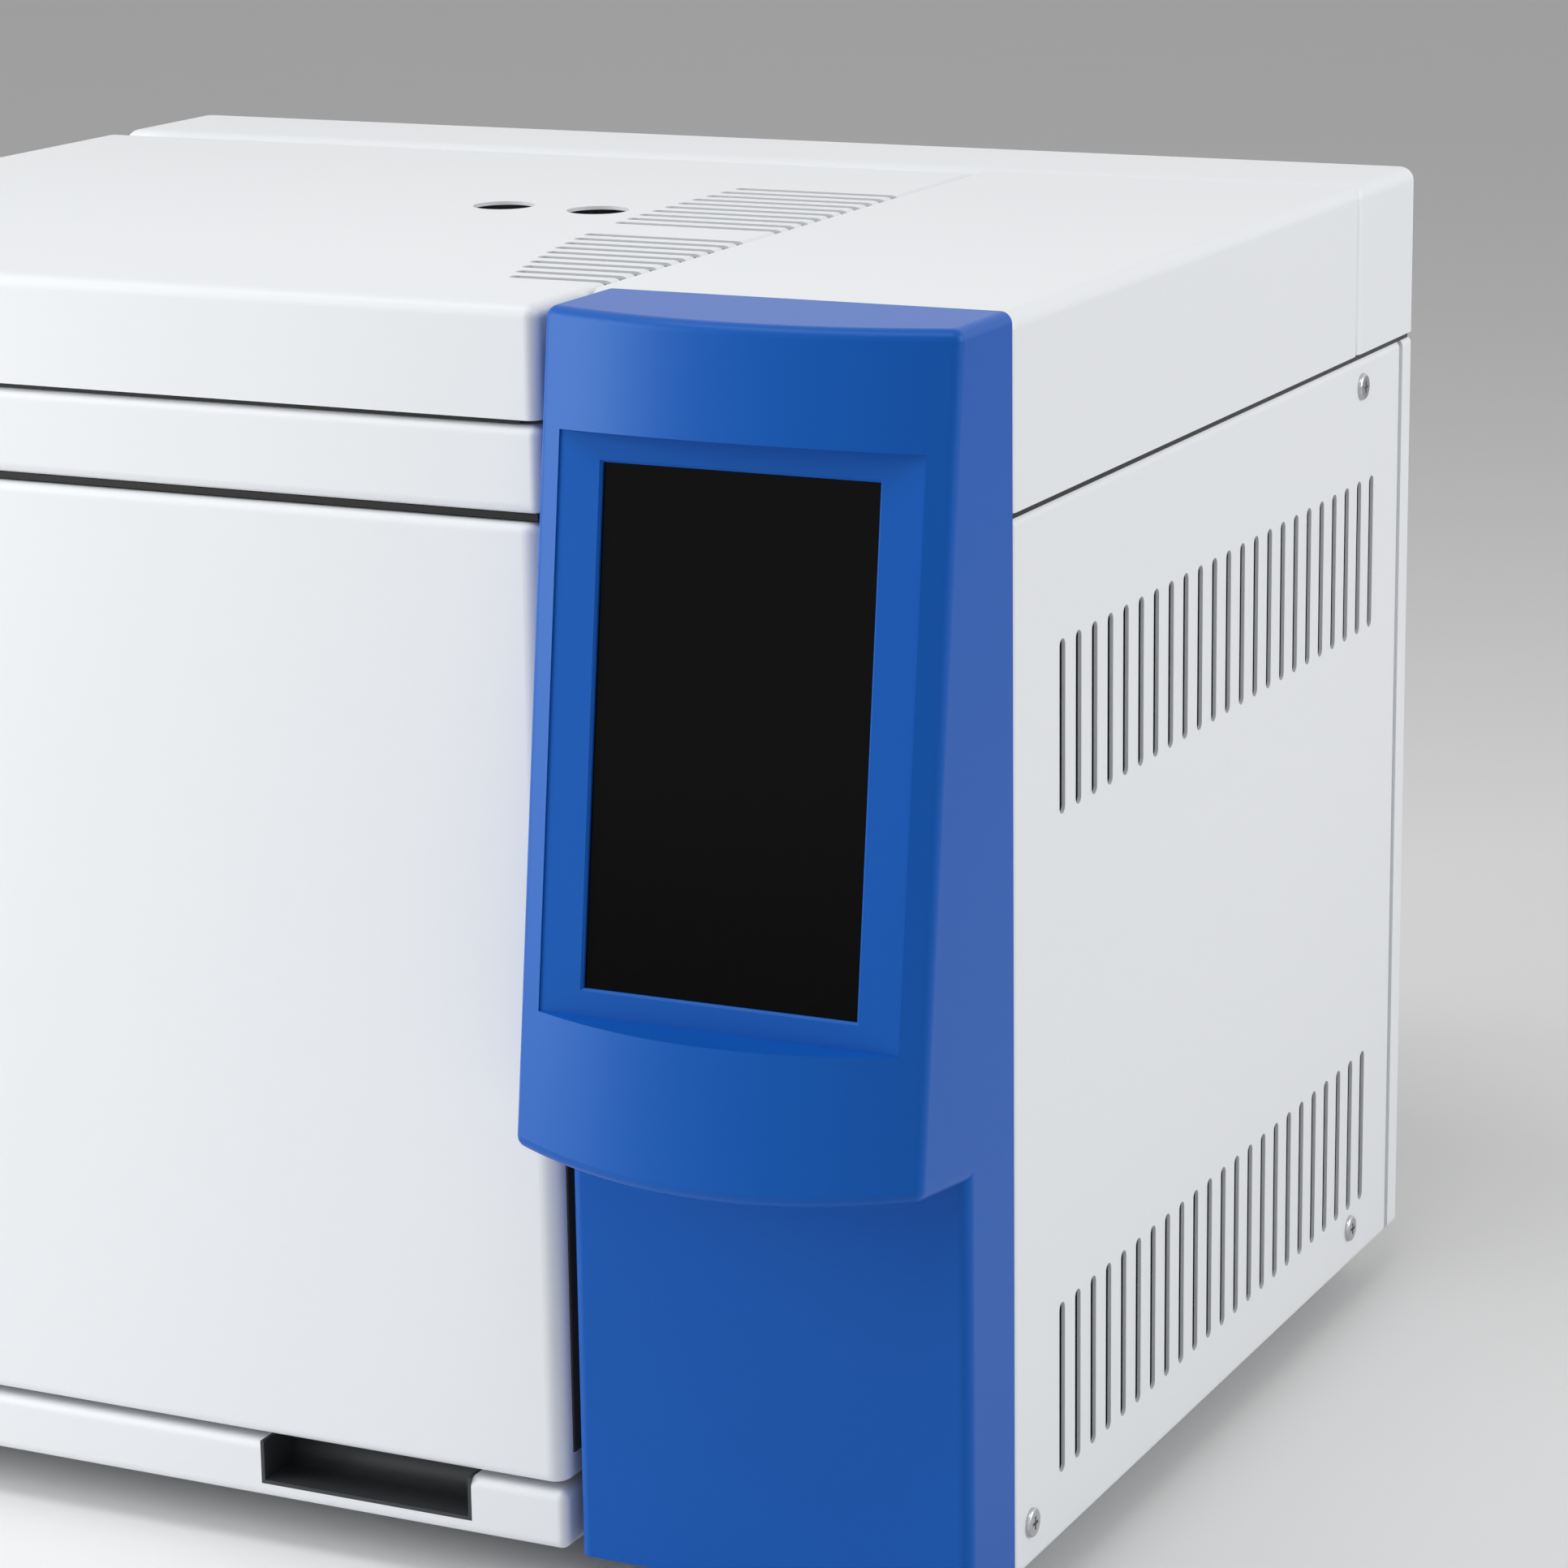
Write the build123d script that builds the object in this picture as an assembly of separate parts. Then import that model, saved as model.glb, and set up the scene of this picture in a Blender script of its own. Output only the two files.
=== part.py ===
from build123d import *
import os
from math import atan2, cos, pi, radians, sin, sqrt

# Benchtop gas chromatograph, in millimetres. +X is to the right of someone facing the oven door,
# -Y is towards that person and +Z is up. The origin is on the bench, at the middle of the footprint.
os.makedirs("parts", exist_ok=True)

# ------------------------------------------------------------------ overall body
body_width = 620.0
body_height = 488.0          # underside of the base to the top covers
body_depth = 450.0           # front face of the side bay to the rear panel
foot_height = 22.0
foot_radius = 22.0
foot_low_radius = 19.0
foot_well_radius = 8.0       # fixing well in a foot's underside
foot_well_depth = 5.5
foot_screw_radius = 3.0
foot_inset = (38.0, 34.0)    # foot's centre in from the base pan's edges
front_step = 42.0            # door, lid and column stand this far ahead of the side bay's face
sheet = 1.5                  # folded steel sheet of the covers
seam = 1.6                   # open joint between neighbouring covers
running = 0.05               # radial clearance of a pin in its bore
soft_gap = 0.3               # air between a seal or moving piece and the face it closes on

# ------------------------------------------------------------------ front column with the display
column_width = 165.0
column_wall = 3.0
column_radius = 4.5          # moulded outer edges
head_height = 308.0          # top face down to the front lower corners of the head
head_top_out = 44.5          # front upper corners, ahead of the side bay's face
head_bottom_out = 84.5       # front lower corners, ahead of the side bay's face
head_bulge = 16.0            # rise of the convex front over the column's width
head_bow = 7.5               # the head's lower edge hangs this much lower in the middle
recess_width = 145.4
recess_length = 214.0
recess_below_corner = 44.2   # measured down the slope from the upper corners
recess_step = 0.7            # depth of the recess at its two upright edges
recess_draft = 14.0          # degrees, lower wall of the recess
screen_width = 110.5
screen_length = 193.0
screen_below_corner = 55.0
screen_sink = 2.0            # glass below the floor of the recess
screen_chamfer = 0.9
glass_margin = 5.0           # glass held behind the window's edge, all round
glass_thickness = 2.2
module_thickness = 14.0      # display panel with its metal back
board_thickness = 1.6

# ------------------------------------------------------------------ lid over the oven's top
lid_drop = 1.0               # lid's top below the head's
lid_height = 42.7
lid_fold = 5.0               # radius of the lid's folds
lid_side_gap = 5.7           # column's left face to the lid, strip and door
lid_radius = 4.0
cover_gap = 1.3              # lid's right side to the right-hand cover
slot_width = 5.6
lid_slot_pitch = 12.5
lid_slot_count = 10
lid_slot_longest = 78.6      # from the left end of the longest slot to the lid's right side
lid_slot_arc = 641.0         # the slots' left ends lie on an arc of this radius
lid_slot_arc_row = 228.0     # where the slots are longest, behind the bay's face
lid_slot_drop = 12.0         # a slot runs this far down the right side
lid_slot_rows = (20.0, 167.5)    # first slot of each group, behind the bay's face
lid_hole_radius = 13.0
injector_places = (-5.7, 38.7)   # across the body
injector_row = 199.0             # behind the bay's face
lid_open_angle = 70.0
hinge_slot = 12.0            # open strip between the lid and the rear cover, where the hinges lie
hinge_below_lid = 7.0        # lid's hinge axis below its top

# ------------------------------------------------------------------ strip, door and plinth
strip_gap = 1.9
strip_height = 33.3
door_gap = 3.2
door_radius = 8.0
plinth_height = 24.0
door_lower_gap = 3.0
door_back_gap = 4.0          # door flanges to the oven's front frame
door_pin_radius = 3.0
door_pin_inset = 10.0        # hinge axis in from the door's left side
door_pin_back = 22.0         # hinge axis ahead of the bay's face
door_bush_size = 12.0
door_bush_height = 14.0
hinge_plate = 2.0

# ------------------------------------------------------------------ covers and panels
cover_side = 73.4            # height of the top covers' sides
cover_drop = 0.8             # top covers below the head's top
cover_radius = 6.0
cover_length = 376.0         # right-hand top cover, front to back
cover_joint = 0.6
panel_radius = 3.5
panel_flange = 12.0
rear_flange = 14.0
vent_count = 23
vent_pitch = 15.9
vent_first = 46.8            # first slot behind the panel's front edge
vent_width = 5.6
upper_vent = (128.8, 196.0)  # top and bottom below the covers' top
lower_vent = (389.9, 459.6)
panel_screw_row = 87.7       # below the covers' top
panel_screw_back = 382.5     # behind the bay's face
panel_screw_front = 16.0
panel_screw_radius = 5.8
screw_head = 1.8

# ------------------------------------------------------------------ oven
cavity_width = 300.0
cavity_height = 290.0
cavity_depth = 255.0
liner_wall = 1.0
liner_lip = 12.0
insulation_gap = 18.15       # air between the felt jacket and the walls beside it
insulation_base = 45.0
insulation_back = 45.0
rail_height = 18.0
frame_sheet = 2.0
deck_sheet = 1.5
baffle_stand = 42.0          # fan baffle ahead of the cavity's back wall
baffle_margin = 14.0
fan_radius = 84.0
fan_depth = 24.0
fan_blades = 12
fan_shaft_radius = 4.0
guard_radius = 66.0
guard_rings = 5
heater_radius = 106.0
heater_tube_radius = 5.0
heater_foot_radius = 3.0
motor_radius = 42.0
motor_length = 58.0

# ------------------------------------------------------------------ column, injectors, detector
coil_radius = 88.0
coil_band = 34.0
coil_turns = 11
coil_turn_radius = 1.5
coil_row = 120.0             # coil's centre behind the bay's face
coil_below_top = 150.0       # coil's centre below the cavity's top
tube_radius = 0.8
injector_radius = 9.0
injector_below = 22.0        # injector's lower end below the cavity's top
injector_block = 36.0
injector_block_height = 26.0
septum_radius = 9.5
septum_height = 16.0
septum_below_lid = 5.0
detector_place = (-120.0, 190.0)
detector_radius = 15.0
detector_block = 56.0

# ------------------------------------------------------------------ rear services
duct_width = 72.0
duct_height = 52.0
duct_wall = 1.2
exhaust_place = (22.0, 336.0)    # across the body, above the bench
intake_place = (-192.0, 140.0)
flap_sheet = 1.6
flap_pin_radius = 2.0
flap_inset = 9.0             # flap ahead of the rear panel's outer face
bay_fan_size = 92.0
bay_fan_depth = 25.0
bay_fan_place = (225.0, 330.0)
bay_fan_blades = 7
blade_pitch = 38.0           # degrees, bay fan
power_place = (262.0, 78.0)
gas_inlet_count = 3
gas_inlet_pitch = 26.0
gas_inlet_place = (190.0, 235.0)
gas_inlet_radius = 4.0
gas_inlet_hex = 7.0          # height of the fitting's hexagon
gas_inlet_length = 14.0      # threaded stub beyond the hexagon

# ------------------------------------------------------------------ planes worked out from the sizes
lean = atan2(head_bottom_out - head_top_out, head_height)
head_reach = head_bottom_out + head_bulge * cos(lean) + head_bow * sin(lean)
x_right = body_width / 2
x_left = -x_right
x_column = x_right - column_width            # column's left face
x_lid = x_column - lid_side_gap              # right side of the lid, strip and door
x_cover = x_lid + cover_gap                  # left side of the right-hand top cover
y_back = (body_depth + head_reach - gas_inlet_hex - gas_inlet_length) / 2
y_face = y_back - body_depth                 # front face of the side bay and oven frame
y_front = y_face - front_step                # front of the door, strip, lid and column
z_base = foot_height
z_top = z_base + body_height
z_lid = z_top - lid_drop
z_cover = z_top - cover_drop
z_lid_low = z_lid - lid_height
z_strip = z_lid_low - strip_gap
z_strip_low = z_strip - strip_height
z_door = z_strip_low - door_gap
z_plinth = z_base + plinth_height
z_door_low = z_plinth + door_lower_gap
z_cover_low = z_top - cover_side
z_panel = z_cover_low - seam
z_deck = z_strip_low
y_cover_end = y_face + cover_length
y_rear_cover = y_cover_end + cover_joint
y_lid_end = y_rear_cover - hinge_slot
y_panel_end = y_back - rear_flange - seam
x_wall = x_lid - sheet                       # left face of the wall between oven and bay
oven_x = (x_left + sheet + x_wall) / 2
cavity_x = (oven_x - cavity_width / 2, oven_x + cavity_width / 2)
cavity_z_low = z_base + sheet + rail_height + insulation_base
cavity_z = (cavity_z_low, cavity_z_low + cavity_height)
cavity_y = (y_face, y_face + cavity_depth)
oven_z = (cavity_z[0] + cavity_z[1]) / 2
y_insulation = cavity_y[1] + liner_wall + insulation_back
y_baffle = cavity_y[1] - baffle_stand
y_injector = y_face + injector_row
hinge_y = y_lid_end + hinge_slot / 2
hinge_z = z_lid - hinge_below_lid
door_pin_x = x_left + door_pin_inset
door_pin_y = y_face - door_pin_back


# ------------------------------------------------------------------ shared shapes
upwards = (Align.CENTER, Align.CENTER, Align.MIN)
downwards = (Align.CENTER, Align.CENTER, Align.MAX)


def block(x, y, z):
    """A plain block between the low and high value of each axis."""
    size = Box(x[1] - x[0], y[1] - y[0], z[1] - z[0])
    return Pos((x[0] + x[1]) / 2, (y[0] + y[1]) / 2, (z[0] + z[1]) / 2) * size


def rod(axis, radius, span, u, v):
    """A round bar along an axis; u and v are its other two coordinates in X, Y, Z order."""
    bar = Cylinder(radius, span[1] - span[0])
    middle = (span[0] + span[1]) / 2
    if axis == "X":
        return Pos(middle, u, v) * Rot(0, 90, 0) * bar
    if axis == "Y":
        return Pos(u, middle, v) * Rot(90, 0, 0) * bar
    return Pos(u, v, middle) * bar


def half_rings(section, place):
    """Two half turns of a section about an axis along Y, which together make a ring."""
    half = revolve(section, Axis.Y, 180)
    return [Pos(*place) * Rot(0, turn, 0) * half for turn in (90, 270)]


def around(centre, size):
    """The low and high value of a span of this size about its centre."""
    return (centre - size / 2, centre + size / 2)


def rounded_block(spans, open_side, radius, upright_radius):
    """A block whose edges are rounded, apart from those round its open side."""
    axis = {"X": Axis.X, "Y": Axis.Y, "Z": Axis.Z}[open_side[1]]
    end, far_end = (0, -1) if open_side[0] == "-" else (-1, 0)
    body = block(*spans)
    edges = body.edges() - body.faces().sort_by(axis)[end].edges()
    if upright_radius == radius:
        return fillet(edges, radius)
    body = fillet(edges.filter_by(Axis.Z), upright_radius)
    ends = body.faces().sort_by(axis)
    edges = ends[far_end].edges()
    if open_side[1] != "Z":
        edges += body.edges().filter_by(axis) - ends[end].edges()
    return fillet(edges, radius)


def tray(spans, wall, open_side, radius, upright_radius=None):
    """A folded sheet tray: rounded outer edges, even wall, one open side."""
    upright = radius if upright_radius is None else upright_radius
    outer = rounded_block(spans, open_side, radius, upright)
    inner_spans = [[low + wall, high - wall] for low, high in spans]
    axis = "XYZ".index(open_side[1])
    if open_side[0] == "-":
        inner_spans[axis][0] = spans[axis][0] - wall
    else:
        inner_spans[axis][1] = spans[axis][1] + wall
    return outer - rounded_block(inner_spans, open_side, radius - wall, upright - wall)


def screw(axis_sign, place, radius):
    """A pan-head screw with a cross recess; its head stands on the X face at place."""
    x, y, z = place
    head = rod("X", radius, sorted((x, x + axis_sign * screw_head)), y, z)
    outer = head.faces().sort_by(Axis.X)[-1 if axis_sign > 0 else 0]
    head = fillet(outer.edges(), screw_head * 0.7)
    shank = rod("X", radius * 0.45, sorted((x, x - axis_sign * 8.0)), y, z)
    tip = x + axis_sign * screw_head
    recess = block(sorted((tip, tip - axis_sign * 1.1)), around(y, radius * 0.9), around(z, radius * 0.22))
    recess += block(sorted((tip, tip - axis_sign * 1.1)), around(y, radius * 0.22), around(z, radius * 0.9))
    return head + shank - recess


def save(name, *solids):
    """Write one sub-part; a group of separate solids goes into one file."""
    parts = [solid for piece in solids for solid in piece.solids()]
    shape = parts[0] if len(parts) == 1 else Compound(children=parts)
    export_step(shape, os.path.join("parts", name + ".step"))


# ------------------------------------------------------------------ front column moulding
column_x = (x_column, x_right)
column_mid = (x_column + x_right) / 2
slope_up = Vector(0, sin(lean), cos(lean))
slope_out = Vector(0, -cos(lean), sin(lean))
upper_corner = Vector(column_mid, y_face - head_top_out, z_top)
slope_length = head_height / cos(lean)
front_arc = (column_width ** 2 / 4 + head_bulge ** 2) / (2 * head_bulge)    # radius of the convex front
recess_fall = front_arc - sqrt(front_arc ** 2 - recess_width ** 2 / 4)
recess_floor = head_bulge - recess_fall - recess_step    # ahead of the line between the corners
plan = Plane(origin=upper_corner, x_dir=(1, 0, 0), z_dir=slope_up)
front_view = Plane(origin=upper_corner, x_dir=(1, 0, 0), z_dir=slope_out)


def bow_height(across, inset):
    """Height of the head's bowed lower edge, up the slope from the upper corners."""
    radius = (column_width ** 2 / 4 + head_bow ** 2) / (2 * head_bow)
    return radius - head_bow - slope_length + inset - sqrt(radius ** 2 - across ** 2)


def head_form(inset, back):
    """The head: a convex front on a leaning axis, cut flat on top and bowed below."""
    half = column_width / 2 - inset
    centre = front_arc - head_bulge
    side = centre - sqrt((front_arc - inset) ** 2 - half ** 2)
    depth = back - y_face + head_bottom_out * 2
    crown = ThreePointArc((half, side), (0, inset - head_bulge), (-half, side))
    walls = Polyline((-half, side), (-half, depth), (half, depth), (half, side))
    section = plan * make_face([*crown.edges(), *walls.edges()])
    reach = slope_length + head_bow * 2
    prism = extrude(section, column_width) + extrude(section, -reach)
    wide = half + column_wall
    low = bow_height(wide, inset)
    bow = ThreePointArc((-wide, low), (0, bow_height(0, inset)), (wide, low))
    frame = Polyline((wide, low), (wide, column_width), (-wide, column_width), (-wide, low))
    outline = front_view * make_face([*bow.edges(), *frame.edges()])
    elevation = extrude(outline, head_bulge * 2) + extrude(outline, -depth)
    limits = block((x_column, x_right), (y_face - head_reach * 2, back), (z_base, z_top - inset))
    return prism & elevation & limits


def pillar_form(inset, back):
    """The straight pillar under the head."""
    across = (x_column + inset, x_right - inset)
    top = z_top - head_height * 0.8
    return block(across, (y_front + inset, back), (z_base + inset, top))


def slope_block(half_width, out, down):
    """A block set along the leaning front: out from the corner line, down from the upper corners."""
    corner = front_view * Pos(0, -(down[0] + down[1]) / 2, out[0])
    return corner * extrude(Rectangle(half_width * 2, down[1] - down[0]), out[1] - out[0])


def recess_cutter():
    """The screen's recess: a flat floor along the slope, square above and drafted below."""
    low = recess_below_corner + recess_length
    mouth = head_bulge * 2
    fall = (mouth - recess_floor) * sin(radians(recess_draft)) / cos(radians(recess_draft))
    side_view = Plane(origin=upper_corner, x_dir=slope_out, z_dir=(-1, 0, 0))
    outline = Polygon((recess_floor, -recess_below_corner), (mouth, -recess_below_corner),
                      (mouth, -low - fall), (recess_floor, -low), align=None)
    return extrude(side_view * outline, recess_width / 2, both=True)


def window_cutter():
    """The screen's window with a chamfered edge on the recess floor."""
    down = (screen_below_corner, screen_below_corner + screen_length)
    opening = slope_block(screen_width / 2, (recess_floor - column_wall * 2, recess_floor + 1), down)
    middle = -(down[0] + down[1]) / 2
    size = (screen_width + screen_chamfer * 2, screen_length + screen_chamfer * 2)
    rim = front_view * Pos(0, middle, recess_floor) * Rectangle(*size)
    return opening + extrude(rim, -screen_chamfer, taper=45)


def column_moulding():
    """The blue front column, moulded in one piece and open at the back."""
    head = head_form(0, y_face)
    front_edges = head.edges() - head.faces().sort_by(Axis.Y)[-1].edges()
    head = fillet(front_edges, column_radius)
    pillar = pillar_form(0, y_face)
    uprights = pillar.edges().filter_by(Axis.Z).sort_by(Axis.Y)[:2]
    pillar = fillet(uprights, column_radius)
    past = y_face + column_wall
    hollow = head_form(column_wall, past) + pillar_form(column_wall, past)
    down = (recess_below_corner - column_wall, recess_below_corner + recess_length + column_wall * 2)
    out = (recess_floor - screen_sink, head_bulge * 2)
    backing = slope_block(recess_width / 2 + column_wall, out, down)
    body = (head + pillar) - (hollow - backing)
    return body - recess_cutter() - window_cutter()


def screen_layer(out, margin):
    """One flat layer of the display, behind the window."""
    down = (screen_below_corner - margin, screen_below_corner + screen_length + margin)
    return slope_block(screen_width / 2 + margin, out, down)


glass_out = (recess_floor - screen_sink - glass_thickness, recess_floor - screen_sink)
module_out = (glass_out[0] - module_thickness, glass_out[0])
board_out = (module_out[0] - board_thickness, module_out[0])


def display_glass():
    """The black front glass of the display."""
    return screen_layer(glass_out, glass_margin)


def display_module():
    """The display panel in its pressed metal back, with a stiffening step."""
    body = screen_layer(module_out, glass_margin - 1)
    step = screen_layer((module_out[0], module_out[0] + 4.0), glass_margin)
    return body - (step - screen_layer((module_out[0], module_out[0] + 4.0), -3.0))


def display_board():
    """The display's circuit board with its larger chips."""
    board = screen_layer(board_out, -6.0)
    half = screen_width / 2
    for across, down, size in ((-20.0, 100.0, 22.0), (18.0, 130.0, 16.0), (12.0, 190.0, 12.0)):
        place = (screen_below_corner + down - 60, screen_below_corner + down - 60 + size)
        chip = slope_block(size / 2, (board_out[0] - 1.4, board_out[0]), place)
        board += Pos(across * half / 55, 0, 0) * chip
    return board




# ------------------------------------------------------------------ covers and panels
def side_slots(x, rows):
    """Two rows of upright round-ended vents for a side panel."""
    cutters = []
    for index in range(vent_count):
        y = y_face + vent_first + index * vent_pitch
        for top, bottom in rows:
            radius = vent_width / 2
            span = (z_top - bottom + radius, z_top - top - radius)
            slot = block(x, around(y, vent_width), span)
            slot += rod("X", radius, x, y, span[0])
            slot += rod("X", radius, x, y, span[1])
            cutters.append(slot)
    return cutters


def panel_screw_spots():
    """Where the side panels are screwed on: behind the bay's face and above the bench."""
    low = z_base + panel_screw_front * 1.2
    return ((y_face + panel_screw_back, z_top - panel_screw_row), (y_face + panel_screw_back, low),
            (y_face + panel_screw_front, low))


def screw_holes(x):
    """Clearance cuts for the side panels' screws."""
    return [rod("X", panel_screw_radius * 0.5, x, y, z) for y, z in panel_screw_spots()]


panel_y = (y_face, y_panel_end)
panel_z = (z_base + 1.0, z_panel)
right_panel_x = (x_right - panel_flange, x_right)
left_panel_x = (x_left, x_left + panel_flange)


def right_side_panel():
    """The bay's side panel, folded all round, with two rows of vents."""
    panel = tray((right_panel_x, panel_y, panel_z), sheet, "-X", panel_radius)
    skin = (x_right - sheet * 2, x_right + sheet)
    return panel - side_slots(skin, (upper_vent, lower_vent)) - screw_holes(skin)


def left_side_panel():
    """The oven's side panel, plain because the oven vents at the rear."""
    panel = tray((left_panel_x, panel_y, panel_z), sheet, "+X", panel_radius)
    return panel - screw_holes((x_left - sheet, x_left + sheet * 2))


def panel_screws():
    """Pan-head screws of both side panels."""
    right = [screw(1, (x_right, y, z), panel_screw_radius) for y, z in panel_screw_spots()]
    left = [screw(-1, (x_left, y, z), panel_screw_radius) for y, z in panel_screw_spots()]
    return right + left


def left_rail():
    """The narrow cover between the left side panel and the lid."""
    return tray((left_panel_x, (y_face, y_cover_end), (z_cover_low, z_strip)), sheet, "+X", panel_radius)


def right_top_cover():
    """The white cover over the side bay: soft folds on three sides, a sharp one beside the lid."""
    spans = ((x_cover - cover_radius * 2, x_right), (y_face, y_cover_end), (z_cover_low, z_cover))
    beyond = block((spans[0][0] - 1, x_cover), (y_face - 1, y_cover_end + 1), (z_cover_low - 1, z_cover + 1))
    flange = block((x_cover, x_cover + sheet), (y_face - 1, y_cover_end + 1), (z_cover_low, z_cover + 1))
    flange &= rounded_block(spans, "-Z", cover_radius, panel_radius)
    return tray(spans, sheet, "-Z", cover_radius, panel_radius) - beyond + flange


def rear_top_cover():
    """The cover across the whole back, behind the lid."""
    spans = ((x_left, x_right), (y_rear_cover, y_back), (z_cover_low, z_cover))
    return tray(spans, sheet, "-Z", cover_radius, panel_radius)


def front_strip():
    """The strip between the lid and the oven door."""
    spans = ((x_left, x_lid), (y_front, y_face), (z_strip_low, z_strip))
    strip = tray(spans, sheet, "+Y", lid_radius)
    flange = (z_strip_low - sheet, z_strip_low + sheet * 2)
    return strip - rod("Z", door_pin_radius + running, flange, door_pin_x, door_pin_y)


def plinth():
    """The strip under the oven door."""
    spans = ((x_left, x_lid), (y_front, y_face), (z_base, z_plinth))
    strip = tray(spans, sheet, "+Y", lid_radius)
    return strip - block(pull_x, (y_front - 1, y_front + pull_depth), (z_plinth - pull_height, z_plinth + 1))


base_inset = panel_flange + 0.5
bay_flange = 8.0
bay_window_size = (50.0, 40.0)               # the display's wiring passes here
bay_window_place = (85.0, 220.0)             # its middle from the column's left and lower edges
bay_window_x = around(x_column + bay_window_place[0], bay_window_size[0])
bay_window_z = around(z_base + bay_window_place[1], bay_window_size[1])
base_y = (y_face + frame_sheet, y_back - rear_flange - 0.5)
base_x = (x_left + base_inset, x_right - base_inset)


def base_pan():
    """The steel pan that carries everything."""
    spans = (base_x, base_y, (z_base, z_base + rail_height))
    return tray(spans, sheet, "+Z", panel_radius)


def feet():
    """Four tapered rubber feet with a dished underside and a fixing well."""
    solids = []
    for x in (base_x[0] + foot_inset[0], base_x[1] - foot_inset[0]):
        for y in (base_y[0] + foot_inset[1], base_y[1] - foot_inset[1]):
            foot = Pos(x, y, 0) * Cone(foot_low_radius, foot_radius, foot_height, align=upwards)
            foot = fillet(foot.edges().sort_by(Axis.Z)[0], 2.0)
            foot -= rod("Z", foot_well_radius, (-1.0, foot_well_depth), x, y)
            foot -= rod("Z", foot_screw_radius, (0.0, foot_height + 1.0), x, y)
            solids.append(foot)
    return solids


# ------------------------------------------------------------------ lid
def lid_shell():
    """The hinged lid: a folded tray with vent slots over its right fold and two injection holes."""
    spans = ((x_left, x_lid), (y_front, y_lid_end), (z_lid_low, z_lid))
    lid = tray(spans, sheet, "-Z", lid_fold)
    cutters = []
    half = slot_width / 2
    through = (z_lid - lid_slot_drop, z_lid + sheet)
    for first in lid_slot_rows:
        for index in range(lid_slot_count):
            row = first + index * lid_slot_pitch
            y = y_face + row
            off_arc = lid_slot_arc - sqrt(lid_slot_arc ** 2 - (row - lid_slot_arc_row) ** 2)
            start = x_lid - lid_slot_longest + off_arc + half
            slot = block((start, x_lid + sheet), around(y, slot_width), through)
            slot += rod("Z", half, through, start, y)
            cutters.append(slot)
    for x in injector_places:
        cutters.append(rod("Z", lid_hole_radius, (z_lid - sheet * 2, z_lid + sheet), x, y_injector))
    return lid - cutters


knuckle_radius = 4.5
hinge_pin_radius = 2.0
hinge_leaf = 1.8
leaf_drop = 20.0             # a leaf hangs this far below the axis
hinge_width = 72.0
hinge_inset = 60.0
knuckle_gap = 0.4
hinge_centres = (x_left + hinge_inset, x_lid - hinge_inset)


def hinge_knuckle(span, bore):
    """One hinge barrel along the lid's axis."""
    return rod("X", knuckle_radius, span, hinge_y, hinge_z) - rod("X", bore, span, hinge_y, hinge_z)


def lid_hinge_leaves():
    """The leaves on the lid, each with the middle barrel."""
    leaves = []
    for centre in hinge_centres:
        middle = around(centre, hinge_width / 3 - knuckle_gap * 2)
        plate_z = (hinge_z - leaf_drop, hinge_z)
        plate = block(middle, (y_lid_end, y_lid_end + hinge_leaf), plate_z)
        plate -= block(middle, (hinge_y - knuckle_radius, hinge_y), plate_z)
        foot = block(middle, (y_lid_end, hinge_y - knuckle_radius / 2), (hinge_z - knuckle_radius, hinge_z))
        foot -= rod("X", hinge_pin_radius + running, middle, hinge_y, hinge_z)
        leaves.append(plate + foot + hinge_knuckle(middle, hinge_pin_radius + running))
    return leaves


def rear_hinge_leaves():
    """The fixed leaves on the rear cover, each with two outer barrels."""
    leaves = []
    for centre in hinge_centres:
        low, high = around(centre, hinge_width)
        third = hinge_width / 3
        shelf = hinge_z - knuckle_radius - 1
        leaf = block((low, high), (y_rear_cover - hinge_leaf, y_rear_cover), (hinge_z - leaf_drop, shelf))
        for span in ((low, low + third), (high - third, high)):
            arm = block(span, (hinge_y + knuckle_radius / 2, y_rear_cover), (shelf, hinge_z))
            arm -= rod("X", hinge_pin_radius, span, hinge_y, hinge_z)
            leaf += arm + hinge_knuckle(span, hinge_pin_radius)
        leaves.append(leaf)
    return leaves


def lid_pins():
    """One pin through each lid hinge."""
    spans = [around(centre, hinge_width) for centre in hinge_centres]
    return [rod("X", hinge_pin_radius, span, hinge_y, hinge_z) for span in spans]


# ------------------------------------------------------------------ oven door
door_x = (x_left, x_lid)
door_y = (y_front, y_face - door_back_gap)
door_z = (z_door_low, z_door)
door_panel_y = (door_y[1] - 9.0, door_y[1] - 8.0)
door_bush_z = ((door_z[0] + sheet, door_z[0] + sheet + door_bush_height),
               (door_z[1] - sheet - door_bush_height, door_z[1] - sheet))
seal_width = 12.0
seal_margin = 6.0
magnet_width = 16.0
magnet_height = 46.0
magnet_depth = 7.0
pull_length = 96.0
pull_depth = 26.0
pull_height = 18.0
pull_wall = 1.6


magnet_x = (cavity_x[1] + seal_margin + seal_width + 3 + x_lid) / 2
magnet_y = (y_face - magnet_depth, y_face)
magnet_heights = (cavity_z[0] + 60.0, cavity_z[1] - 60.0)
pull_x = around(x_lid - 90.0, pull_length)


def door_shell():
    """The white outer pan of the door, holed for its hinge pins."""
    shell = tray((door_x, door_y, door_z), sheet, "+Y", lid_radius, door_radius)
    return shell - rod("Z", door_pin_radius + 0.5, (door_z[0] - 1, door_z[1] + 1), door_pin_x, door_pin_y)


def door_bushes():
    """Bronze hinge blocks inside the door's top and bottom flanges."""
    bushes = []
    for span in door_bush_z:
        body = block(around(door_pin_x, door_bush_size), around(door_pin_y, door_bush_size), span)
        bushes.append(body - rod("Z", door_pin_radius + running, span, door_pin_x, door_pin_y))
    return bushes


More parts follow.
